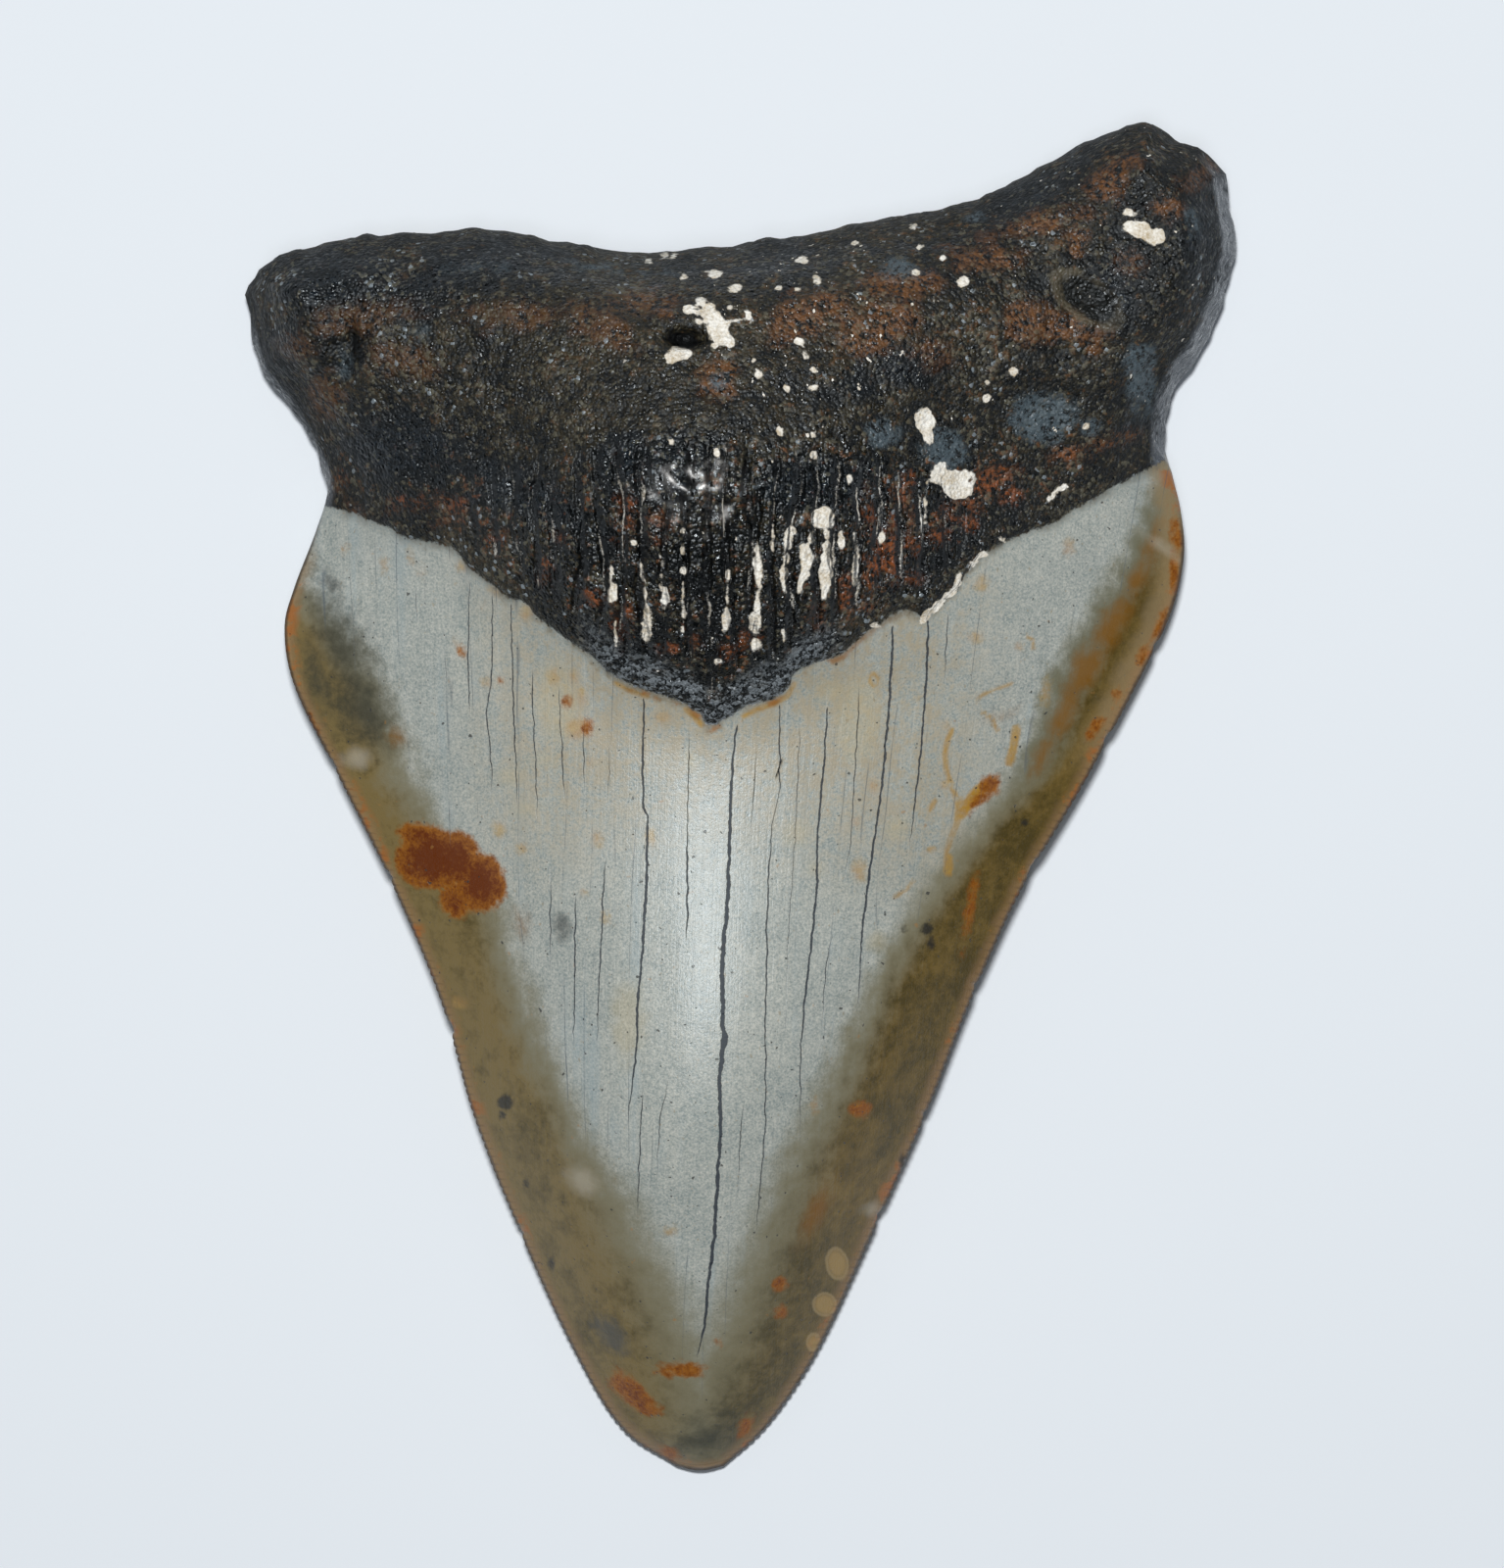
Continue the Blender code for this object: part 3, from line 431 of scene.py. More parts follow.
def side_at(line, shoulder_y, v):
    """Points of a side edge at v, with the shoulder at SHOULDER_V."""
    run = lengths(line)
    shoulder = np.interp(shoulder_y, line[:, 1], run) / run[-1]
    return at_share(line, np.interp(v, (0, SHOULDER_V, 1), (0, shoulder, 1)))


def patch(u, v):
    """Plan points of a patch stretched between the four edges."""
    s = ((u + 1) / 2)[:, None]
    t = v[:, None]
    painted_reflection_sides = (1 - s) * side_at(LEFT, LEFT_SHOULDER_Y, v) + s * side_at(RIGHT, RIGHT_SHOULDER_Y, v)
    corners = (1 - s) * (1 - t) * LEFT[0] + s * (1 - t) * RIGHT[0] + (1 - s) * t * LEFT[-1]
    corners += s * t * RIGHT[-1]
    return painted_reflection_sides + (1 - t) * at_share(TIP, s[:, 0]) + t * at_share(TOP, s[:, 0]) - corners


def plan(u, v, line):
    """Plan points with the row SHOULDER_V drawn along the line where the enamel ends."""
    points = patch(u, v)
    row = patch(u, np.full_like(v, SHOULDER_V))
    drop = read_line(line, row[:, 0]) - row[:, 1]
    drop *= 1 - np.abs(u) ** 12
    pull = np.where(v < SHOULDER_V, (v / SHOULDER_V) ** 1.5, (1 - v) / (1 - SHOULDER_V))
    points[:, 1] += drop * pull
    return points


def nearest_rim(points):
    """Distance to the outline, and the outline's outward direction there."""
    near = np.array([RIM_TREE.find((x, y, 0))[1] for x, y in points])
    distance = np.full(len(points), 1e9)
    for step in (-1, 0):
        start = RIM[(near + step) % len(RIM)]
        along = RIM[(near + step + 1) % len(RIM)] - start
        share = np.clip(((points - start) * along).sum(1) / np.maximum((along**2).sum(1), 1e-12), 0, 1)
        distance = np.minimum(distance, np.linalg.norm(points - start - share[:, None] * along, axis=1))
    return distance, RIM_OUTWARD[near]


def above_line(line, points):
    """Signed distance from the slanting line where the enamel ends, positive on the root."""
    return (points[:, 1] - read_line(line, points[:, 0])) * LINE_SLANT


def crown_width(points):
    """Position across the crown at each point, from -1 on the left cutting edge to 1 on the right."""
    left, right = (read_line(line, points[:, 1], axis=1) for line in (LEFT, RIGHT))
    return np.clip((2 * points[:, 0] - left - right) / (right - left), -1, 1)


def mound(points, x, y, half_width, half_height):
    return np.exp(-(((points[:, 0] - x) / half_width) ** 2) - ((points[:, 1] - y) / half_height) ** 2)


def rough(points, kind):
    """The layers of smooth noise of this kind, added up."""
    total = np.zeros(len(points))
    for height, size_x, size_y, seed in ROUGHNESS[kind]:
        total += height * np.array([noise.noise(Vector((x / size_x, y / size_y, seed))) for x, y in points])
    return total


def furrow_field(points, rooted):
    """1 where the fine furrows that run along the tooth above the enamel are deep, 0 where there are none."""
    x, y, half_width, half_height = FURROW_FIELD
    reach = np.abs((points[:, 0] - x) / half_width) ** 2 + np.abs((points[:, 1] - y) / half_height) ** 3
    return smoothstep(1.25, 0.6, reach) * smoothstep(1.2, 2.6, rooted)


def lingual_height(points, distance):
    """Height of the face that looks up: the crown and the root, blended across the enamel's end."""
    rooted = above_line(LINGUAL_LINE, points)
    across = np.abs(crown_width(points))
    crown = read_line(spline(CUTTING_EDGE), points[:, 1]) + BLADE_THICKNESS / 2
    crown += (read_line(spline(CROWN_RIDGE), points[:, 1]) - crown) * (1 - across**1.9) ** 1.12
    crown += rough(points, "crown") * smoothstep(0.5, 4, distance)
    flank = SHOULDER_HEIGHT + (LOBE_HEIGHT - SHOULDER_HEIGHT) * smoothstep(20, 34, points[:, 1])
    hump = np.exp(-(np.abs(points[:, 0] - RIDGE_X) / RIDGE_HALF_WIDTH) ** 2.2)
    root = flank + (read_line(spline(ROOT_RIDGE), points[:, 1]) - flank) * hump
    for x, y, half_width, half_height, rise in HOLLOWS_AND_LUMPS:
        root += rise * mound(points, x, y, half_width, half_height)
    relief = rough(points, "lumps") * smoothstep(0.5, 4, rooted)
    root += relief + rough(points, "grains") * smoothstep(0, 0.8, rooted)
    root = WALL_TOP + (root - WALL_TOP) * rounded(distance, TOP_ROUNDING)
    share = smoothstep(-4, 4, rooted)
    ledge = LEDGE * smoothstep(0, 0.35, rooted) * smoothstep(0, 2, distance)
    return crown * (1 - share) + root * share + ledge


def labial_height(points, distance):
    """Height of the face that looks down, worn flat where it touches what it lies on."""
    rooted = above_line(LABIAL_LINE, points)
    edge = read_line(spline(CUTTING_EDGE), points[:, 1]) - BLADE_THICKNESS / 2
    crown = CROWN_HOLLOW + (edge - CROWN_HOLLOW) * np.abs(crown_width(points)) ** 2.4
    foot = ROOT_HOLLOW + (WALL_FOOT - ROOT_HOLLOW) * (1 - rounded(distance, FOOT_ROUNDING))
    foot -= rough(points, "foot") * smoothstep(0, 1.5, rooted)
    share = smoothstep(-4, 4, rooted)
    height = crown * (1 - share) + foot * share
    for x, y, half_width, half_height, wear in CONTACTS:
        height -= wear * mound(points, x, y, half_width, half_height) * smoothstep(0, 3, distance)
    return np.maximum(height, 0)


def notches(u, v, lingual):
    """How far the serrations and chips bite into the blade's rim."""
    rim = (np.abs(u) > NEAR_RIM) & (v < SHOULDER_V * 0.985)
    phase = v / SHOULDER_V * SERRATIONS_PER_EDGE
    worn = smoothstep(14, -4, lingual[:, 1]) * (0.7 + rough(lingual, "wear"))
    serrated = 1 - np.abs(np.sin(math.pi * phase)) ** 0.8
    notch = SERRATION_DEPTH * worn * rim * serrated * smoothstep(0, 0.03, v)
    for side, y, half_length, bite in CHIPS:
        notch += bite * rim * (u * side > 0) * np.exp(-((lingual[:, 1] - y) / half_length) ** 2)
    return notch[:, None]


def place(grid):
    """Positions in mm for grid points (u, v, w)."""
    u, v, w = grid.T
    lingual = plan(u, v, LINGUAL_LINE)
    labial = plan(u, v, LABIAL_LINE)
    lingual_gap, lingual_out = nearest_rim(lingual)
    labial_gap, labial_out = nearest_rim(labial)
    on_root = smoothstep(-1, 1.5, above_line(LINGUAL_LINE, lingual)) * smoothstep(21, 25, lingual[:, 1])
    height = lingual_height(lingual, lingual_gap)
    lean = WALL_LEAN * on_root * (1 - smoothstep(0, 5, lingual_gap))
    lean *= TOP_LEAN_SHARE + (1 - TOP_LEAN_SHARE) * smoothstep(0.3, 0.8, np.abs(lingual_out[:, 0]))
    lean += (rough(lingual, "wall") + TOP_INSET) * on_root * (1 - smoothstep(0, 2.5, lingual_gap))
    lingual = lingual - lean[:, None] * lingual_out
    foot_lean = rough(labial, "foot_wall") * on_root * (1 - smoothstep(0, 2.5, labial_gap))
    labial = labial - (foot_lean + FOOT_INSET * on_root)[:, None] * labial_out
    notch = notches(u, v, lingual)
    lingual -= notch * lingual_out
    labial -= notch * labial_out
    top = np.column_stack((lingual, height))
    bottom = np.column_stack((labial, labial_height(labial, labial_gap)))
    share = ((w + 1) / 2)[:, None]
    return bottom * (1 - share) + top * share


def wanted_length(grid, middles):
    """The longest edge that is left undivided near each of these points."""
    rooted = above_line(LINGUAL_LINE, middles[:, :2])
    longest = np.where(rooted > -0.6, LONGEST["root"], LONGEST["crown"])
    furrowed = furrow_field(middles[:, :2], rooted) > 0.3
    longest = np.where(furrowed & (np.abs(middles[:, 0] + 1) < 12.5), LONGEST["furrows"], longest)
    return np.where(grid[:, 2] < 0, LONGEST["labial"], longest)


def arrays(mesh):
    """The mesh's vertices as an array, and the two vertex numbers of each edge."""
    mesh.verts.index_update()
    grid = np.array([vert.co for vert in mesh.verts])
    ends = np.array([(edge.verts[0].index, edge.verts[1].index) for edge in mesh.edges])
    return grid, ends


def face_grid(mesh, w):
    """One face's grid, its rows spaced so that one falls on each side of the ledge at the enamel's end."""
    rows = np.concatenate((np.linspace(0, SHOULDER_V, CROWN_ROWS + 1),
                           np.linspace(SHOULDER_V + LEDGE_V, 1, ROOT_ROWS)))
    made = bmesh.ops.create_grid(mesh, x_segments=COLUMNS, y_segments=len(rows) - 1, size=1,
                                 matrix=Matrix.Translation((0, 0, w)))
    for vert in made["verts"]:
        vert.co.y = rows[round((vert.co.y + 1) / 2 * (len(rows) - 1))]


def split(mesh, edges):
    bmesh.ops.subdivide_edges(mesh, edges=edges, cuts=1, use_grid_fill=True)
    many_sided = [face for face in mesh.faces if len(face.verts) > 4]
    bmesh.ops.triangulate(mesh, faces=many_sided)


def on_blade(edge, step):
    """Is this an edge of the cutting edge's rim that is still longer than a quarter of a serration?"""
    first, second = (vert.co for vert in edge.verts)
    along_rim = abs(first.x) > NEAR_RIM and first.x * second.x > 0.99
    return along_rim and max(first.y, second.y) < SHOULDER_V * 0.999 and abs(first.y - second.y) > step * 1.2


def tooth_grid():
    """The two faces' grids, joined along their border and refined until no edge is too long."""
    mesh = bmesh.new()
    face_grid(mesh, 1)
    face_grid(mesh, -1)
    bmesh.ops.bridge_loops(mesh, edges=[edge for edge in mesh.edges if edge.is_boundary])
    for _ in range(GRID_ROUNDS):
        grid, ends = arrays(mesh)
        placed = place(grid)
        start, end = placed[ends[:, 0]], placed[ends[:, 1]]
        span = np.linalg.norm(start - end, axis=1)
        long = span > wanted_length((grid[ends[:, 0]] + grid[ends[:, 1]]) / 2, (start + end) / 2)
        if not long.any():
            break
        split(mesh, [edge for edge, is_long in zip(mesh.edges, long) if is_long])
    step = SHOULDER_V / (4 * SERRATIONS_PER_EDGE)
    for _ in range(BLADE_ROUNDS):
        blade = [edge for edge in mesh.edges if on_blade(edge, step)]
        if not blade:
            break
        split(mesh, blade)
    return mesh


# ---------------------------------------------------------------- what the surface carries


def marks_distance(points, marks):
    """Signed distance to the nearest of these marks, negative inside one."""
    nearest = np.full(len(points), NO_MARK)
    for mark in marks:
        x, y, half_width, half_height, lean = (*mark, 0)[:5]
        turn = math.radians(lean)
        dx, dy = points[:, 0] - x, points[:, 1] - y
        across = (dx * math.cos(turn) + dy * math.sin(turn)) / half_width
        up = (dy * math.cos(turn) - dx * math.sin(turn)) / half_height
        nearest = np.minimum(nearest, (np.hypot(across, up) - 1.0) * min(half_width, half_height))
    return nearest


def stroke_distance(points, strokes):
    """Signed distance to the nearest of these strokes, negative inside one."""
    nearest = np.full(len(points), NO_MARK)
    for half_width, *ends in strokes:
        for start, end in zip(np.array(ends[:-1]), np.array(ends[1:])):
            along = end - start
            share = np.clip((points - start) @ along / (along @ along), 0.0, 1.0)
            off = points - start - share[:, None] * along
            nearest = np.minimum(nearest, np.hypot(off[:, 0], off[:, 1]) - half_width)
    return nearest


def laid_on(points):
    """Where each point seems to stand at the height of the marks, seen from the middle of the view above."""
    away = (CAMERA_HEIGHT - FOCUS_HEIGHT) / (CAMERA_HEIGHT - points[:, 2:] * MM)
    return MARKS_MIDDLE + (points[:, :2] - MARKS_MIDDLE) * away


def grain_lean(x):
    """How the crown's grain leans at x: across per length."""
    return np.clip(GRAIN_LEAN + GRAIN_SPREAD * x, -0.03, 0.11)


def crack_field(points):
    """Distance from the nearest crack, its sign changing only at the cracks, and that crack's half width."""
    x, y = points[:, 0], points[:, 1]
    lines = []
    widths = []
    for crack in CRACKS:
        ends = np.array(crack[::-1], float)
        beyond = y - np.clip(y, ends[0, 1], ends[-1, 1])
        line = np.interp(y, ends[:, 1], ends[:, 0])
        lines.append(line + beyond * grain_lean(line))
        widths.append(np.interp(y, ends[:, 1], ends[:, 2]) * (beyond == 0.0))
    lines = np.array([lines[0] - FAR] + lines + [lines[-1] + FAR])
    lines = np.maximum.accumulate(lines, axis=0)
    widths = np.array([widths[0] * 0] + widths + [widths[0] * 0])
    every = np.arange(len(points))
    below = np.clip((lines <= x).sum(axis=0) - 1, 0, len(lines) - 2)
    from_left = x - lines[below, every]
    from_right = lines[below + 1, every] - x
    nearest = below + (from_right < from_left)
    signed = np.minimum(from_left, from_right) * np.where(below % 2 == 0, 1.0, -1.0)
    return signed, widths[nearest, every]


def core_depth(points):
    """Signed distance into the grey core of the crown, negative in its olive-brown margins."""
    left, right = (read_line(side[::-1], points[:, 1], axis=1) for side in (CORE_LEFT, CORE_RIGHT))
    return np.minimum(points[:, 0] - left, right - points[:, 0]) * CORE_SLANT


def paint_attributes(data, grid, points, shift):
    """Writes what the finishes read, one number a vertex: distances are in mm, negative inside a mark."""
    plan_points = points[:, :2]
    marked = laid_on(points - (0.0, 0.0, shift[2]))
    lingual_root = above_line(LINGUAL_LINE, plan_points)
    layers = {name: marks_distance(marked, marks) for name, marks in MARKS.items()}
    layers["chalk"] = np.minimum(layers["chalk"], stroke_distance(marked, CHALK_STROKES))
    layers["loops"] = stroke_distance(marked, OCHRE_STROKES)
    layers["torus"] *= -1.0
    layers["torus_top"] *= -1.0
    layers["face"] = np.clip(grid[:, 2], -1.0, 1.0)
    layers["rooted"] = np.where(grid[:, 2] > 0.0, lingual_root, above_line(LABIAL_LINE, plan_points))
    layers["edge"], _ = nearest_rim(plan_points)
    layers["core"] = core_depth(marked)
    layers["off_crack"], layers["crack"] = crack_field(marked)
    layers["furrowed"] = furrow_field(plan_points, lingual_root)
    layers["serration"] = grid[:, 1] / SHOULDER_V * SERRATIONS_PER_EDGE
    for name, values in layers.items():
        layer = data.attributes.new(name, "FLOAT", "POINT")
        layer.data.foreach_set("value", np.ascontiguousarray(values, np.float32))


def make_tooth():
    mesh = tooth_grid()
    bmesh.ops.triangulate(mesh, faces=mesh.faces, quad_method="BEAUTY")
    grid, _ = arrays(mesh)
    points = place(grid)
    low, high = points.min(axis=0), points.max(axis=0)
    shift = np.array(((low[0] + high[0]) / 2, (low[1] + high[1]) / 2, low[2]))
    for vert, position in zip(mesh.verts, points - shift):
        vert.co = Vector(position) * MM
    bmesh.ops.recalc_face_normals(mesh, faces=mesh.faces)
    data = bpy.data.meshes.new("tooth_surface")
    mesh.to_mesh(data)
    mesh.free()
    paint_attributes(data, grid, points, shift)
    data.shade_smooth()
    tooth = bpy.data.objects.new("tooth_surface", data)
    bpy.context.scene.collection.objects.link(tooth)
    print("tooth_surface triangles", len(data.polygons))
    return tooth


# ---------------------------------------------------------------- finishes


def srgb(red, green, blue):
    """A screen colour, 0 to 255, as the shader wants it."""
    shares = (red / 255, green / 255, blue / 255)
    return (*(((c + 0.055) / 1.055) ** 2.4 if c > 0.04 else c / 12.92 for c in shares), 1.0)


class Wire:
    """A socket of a shader tree, so that its maths reads as an expression."""

    def __init__(self, tree, socket=None):
        self.tree = tree
        self.socket = socket

    def node(self, kind, settings, sockets, output=0):
        """Adds a node, its settings first, then the values or links of its sockets. Returns one output."""
        made = self.tree.nodes.new("ShaderNode" + kind)
        for name, value in settings.items():
            setattr(made, name, value)
        for name, value in sockets.items():
            if isinstance(value, Wire):
                value.feed(made.inputs[name])
            else:
                made.inputs[name].default_value = value
        return Wire(self.tree, made.outputs[output])

    def output(self, number):
        """Another output of the same node."""
        return Wire(self.tree, self.socket.node.outputs[number])

    def feed(self, target):
        self.tree.links.new(self.socket, target)

    def maths(self, operation, *values):
        return self.node("Math", {"operation": operation}, dict(enumerate(values)))

    def __add__(self, other):
        return self.maths("ADD", self, other)

    def __sub__(self, other):
        return self.maths("SUBTRACT", self, other)

    def __mul__(self, other):
        return self.maths("MULTIPLY", self, other)

    def __truediv__(self, other):
        return self.maths("DIVIDE", self, other)

    def __rsub__(self, other):
        return self.maths("SUBTRACT", other, self)

    def __abs__(self):
        return self.maths("ABSOLUTE", self)

    __radd__ = __add__
    __rmul__ = __mul__

    def larger(self, other):
        return self.maths("MAXIMUM", self, other)

    def between(self, low, high):
        """0 at low and 1 at high, smooth and clamped. low may be above high."""
        sockets = {"Value": self, "From Min": low, "From Max": high}
        return self.node("MapRange", {"interpolation_type": "SMOOTHSTEP"}, sockets)

    def blend(self, *colours):
        """Two colours mixed by this number, each a Wire or a screen colour."""
        first, second = (colour if isinstance(colour, Wire) else srgb(*colour) for colour in colours)
        return self.node("Mix", {"data_type": "RGBA"}, {0: self, 6: first, 7: second}, output=2)

    def under(self, *layers):
        """This colour under these layers, each a mask, its strength and a colour."""
        colour = self
        for mask, strength, layer in layers:
            colour = (mask * strength).blend(colour, layer)
        return colour


class Ground:
    """What the tooth's finishes read at each point: its place in mm, noise, and the masks that they share."""

    def __init__(self, tree):
        self.start = Wire(tree)
        here = self.start.node("TexCoord", {}, {}, output=3)
        self.mm = self.start.node("VectorMath", {"operation": "SCALE"}, {0: here, "Scale": 1 / MM})
        self.x = self.start.node("SeparateXYZ", {}, {0: self.mm})
        self.y, self.z = self.x.output(1), self.x.output(2)
        coarse, middle = self.noise(self.mm, 0.2), self.noise(self.mm, 0.7, 3)
        fine, grit = self.noise(self.mm, 2.2, 3, 0.6), self.noise(self.mm, 6, 2.5, 0.7)
        self.noises = (coarse, middle, fine, grit)
        self.rooted = self.read("rooted")
        self.edge = self.read("edge")
        self.lingual = self.read("face").between(-0.2, 0.2)
        self.bone = (self.rooted + fine * 0.5 + grit * 0.35 + middle * 0.25).between(-0.1, 0.1)
        self.read_crown(self.x, self.y, fine)
        self.read_root(self.x, self.y, coarse, middle, fine)

    def read(self, name):
        return self.start.node("Attribute", {"attribute_name": name}, {}, output=2)

    def noise(self, at, scale=1, detail=2, roughness=0.5):
        """Noise about 0, within half a unit each way."""
        sockets = {"Vector": at, "Scale": scale, "Detail": detail, "Roughness": roughness}
        return self.start.node("TexNoise", {}, sockets) - 0.5

    def point(self, *place_at):
        return self.start.node("CombineXYZ", {}, dict(enumerate(place_at)))

    def read_crown(self, x, y, fine):
        """Threads that run along the crown and lean a little, its small pits and its cracks."""
        self.thread = x - (GRAIN_LEAN + x * GRAIN_SPREAD) * y
        self.threads = self.noise(self.point(self.thread * 2.6, y * 0.05, 1), 1, 3, 0.65)
        self.fine_threads = self.noise(self.point(self.thread * 7.5, y * 0.14, 4), 1, 2, 0.65)
        self.broad_threads = self.noise(self.point(self.thread * 0.55, y * 0.035, 9))
        self.pits = self.noise(self.mm, 2.6, 1).between(0.24, 0.29)
        wander = self.noise(self.point(x * 0.3, y * 0.9, 3), 1, 2.5) * 0.3
        size = self.read("crack")
        crack = (abs(self.read("off_crack") + wander) - size * (fine * 2 + 0.9)).between(0.03, -0.03)
        self.crack = crack * size.between(0.003, 0.03) * self.lingual

    def read_root(self, x, y, coarse, middle, fine):
        """Lumps and grains of the root, its furrows, its shiny, blue-black and slaty areas, and the pale band
        of painted reflection along its side walls.
        """
        self.lump = self.noise(self.mm, 1.5, 1, 0.4)
        self.grains = self.start.node("TexVoronoi", {}, {"Vector": self.mm, "Scale": 3.8})
        self.sort = self.start.node("SeparateColor", {}, {0: self.grains.output(1)})
        self.shine = self.sort.output(1)
        self.furrowed = self.read("furrowed")
        swerve = self.noise(self.point(x * 0.4, y * 0.16, 6)) * 2.2 + self.lump * 0.35
        self.lanes = abs(self.start.maths("FRACT", (x + swerve) / FURROW_PITCH) - 0.5)
        breaks = self.noise(self.point(x * 1.4, y * 0.45, 2))
        # The furrows: their depth for the bump, and in the colour the painted shade in their grooves.
        self.furrow_and_shade = self.lanes.between(0.3, 0.06) * breaks.between(-0.2, 0.02) * self.furrowed
        self.wrinkles = self.noise(self.point(x * 1.5, y * 3.6, 12), 1, 1.5)
        self.glossy = self.read("torus").between(-3, 3)
        self.wet = self.read("torus_top").between(-0.5, 2.5)
        self.jet = (self.read("jet") + coarse * 2 + middle * 2.4 + fine).between(1.3, -1)
        bourlette = (self.rooted + middle * 1.8 + self.lump * 1.4).between(2.6, 0.8)
        self.bourlette = bourlette * abs(x + 2).between(10, 7)
        # Painted reflection: a pale band along the steep side walls stands in for the pale floor reflected
        # there; the same mask also makes the walls glossier.
        painted_reflection_sides = (x - 27).between(0, 3) * y.between(46, 43)
        painted_reflection_sides = painted_reflection_sides.larger((x + 27).between(0, -3) * y.between(35, 32) * 0.85)
        wall = self.edge + middle * 0.5 + fine * 0.5 - (x - 20).between(-30, 0) * 0.8
        wall = wall.between(0.8, 0.3) * painted_reflection_sides
        self.wall = wall * (coarse * 1.5 + middle + fine * 1.6 + 0.8).between(0, 0.9)


def grey_core(g):
    """The middle of the crown: fibrous grey, with a warm veil below the root."""
    coarse, middle, fine, grit = g.noises
    x, y, threads, broad = g.x, g.y, g.threads, g.broad_threads
    core = threads * 0.4 + middle * 0.5 + coarse * 0.5 + fine * 0.6 + grit * 2.4 + 0.5
    blue = (coarse * 1.2 + broad * 2.4 + threads * 0.8).between(0.05, 0.8)
    veil = (abs(x + 3) * 0.3 + y - 9).between(-16, -3) * (x + 17).between(-5, 5)
    veil = veil * (19 - x).between(-2, 7)
    mottle = threads * 0.6 + broad * 1.2 + middle * 1.2 + fine * 1.6 + grit + 0.5
    cream = (g.read("cream") + middle * 1.4 + fine * 0.6).between(0.5, -0.7)
    flecks = (g.noise(g.point(x * 1.2, y * 0.8, 50), 2.6) + grit * 0.3).between(0.16, 0.26)
    fibres = g.fine_threads * 2 + threads * 1.2
    return core.blend((128, 139, 138), (186, 188, 180)).under(
        (blue, 0.45, (140, 160, 168)),
        (veil * mottle.between(0, 0.9), 0.75, (158, 146, 120)),
        (cream, 0.35, (180, 166, 128)),
        (flecks, 0.5, (132, 118, 90)),
        (fibres.between(0.2, 0.8), 0.5, (104, 114, 118)),
        (fibres.between(-0.15, -0.6), 0.3, (192, 193, 186)))


def margined(g, depth):
    """The grey core between its olive-brown margins, which are ochre on the right and tan along the edges."""
    coarse, middle, fine, grit = g.noises
    x, y, edge = g.x, g.y, g.edge
    olive = middle * 1.6 + coarse * 1.5 + fine * 1.2 + grit * 0.8 + x.between(-2, -10) * 0.45 + 0.4
    ochreous = (x - 2).between(-4, 8)
    dark_olive = ochreous.blend((74, 65, 34), (74, 62, 24))
    olive = olive.blend(dark_olive, ochreous.blend((120, 104, 64), (116, 95, 46)))
    enamel = depth.between(2.6, 0).blend(grey_core(g), (124, 120, 98))
    shade = abs(depth - 0.2).between(2, 0.4) * (x - 14).between(0, 4) * (y + 2).between(0, 6)
    smoke = (g.read("smoke") + coarse * 2 + middle * 2.6 + fine * 1.6).between(1.7, -1.5)
    ochre = (g.read("ochre") + middle * 1.2 + g.threads * 0.6 + fine * 0.4).between(0.6, -0.7)
    pale_rim = (edge + middle * 1.2).between(2.4, 1) * (x - 20).between(0, 3)
    rim = (edge + middle * 0.9 + fine * 0.4).between(1.1, 0.1) * (y - 19 + coarse * 6).between(0, -6)
    rim_spots = (edge + middle * 0.8).between(1.3, 0.5) * (middle + coarse + fine * 0.3).between(0.1, 0.24)
    return depth.between(0.6, -1.6).blend(enamel, olive).under(
        (shade, 0.6, (98, 99, 80)),
        (smoke, 0.82, (58, 60, 52)),
        (ochre, 0.8, (124, 84, 22)),
        (pale_rim * (y - 1).between(0, 5), 0.6, (150, 130, 96)),
        (rim, 0.7, (148, 118, 84)),
        (rim_spots, 0.8, (156, 96, 44)))


def spotted(g, enamel):
    """The enamel under its separate marks, from tan spots to freckles."""
    coarse, middle, fine, grit = g.noises
    tan = (g.read("tan") + middle * 1.2 + fine).between(0.3, -0.5)
    loops = (g.read("loops") + fine * 0.4).between(0.18, -0.12)
    stain = g.read("orange") + middle + fine * 0.7
    stain_colour = (stain * 0.6 + fine * 1.2 + grit * 1.2 + 0.6).blend((98, 42, 2), (160, 100, 18))
    grey = (g.read("grey") + middle * 1.2 + fine * 0.4).between(0.3, -0.6)
    dark = (g.read("dark") + middle * 0.3 + fine * 0.3).between(0.16, -0.16)
    pale = (g.read("pale") + middle).between(0.4, -0.6)
    amber = g.read("amber") + fine * 0.2
    freckles = g.noise(g.point(g.x + 40, g.y, g.z), 1.4, 1.5).between(0.24, 0.31)
    return enamel.under(
        (tan, 0.6, (middle * 3 + 0.5).blend((176, 146, 84), (160, 112, 58))),
        (loops, coarse + fine + 0.75, (middle * 2 + 0.5).blend((176, 140, 60), (152, 112, 40))),
        (stain.between(0.35, -0.15), 0.95, stain_colour),
        (grey, 0.7, (76, 78, 76)),
        (dark, 0.85, (34, 34, 32)),
        (pale, 0.5, (178, 172, 156)),
        (amber.between(0.12, -0.3), 0.75, (166, 138, 84)),
        (abs(amber).between(0.16, 0.02), 0.3, (190, 166, 120)),
        (g.pits, 0.8, (58, 58, 56)),
        (freckles, 0.45, (156, 114, 60)))


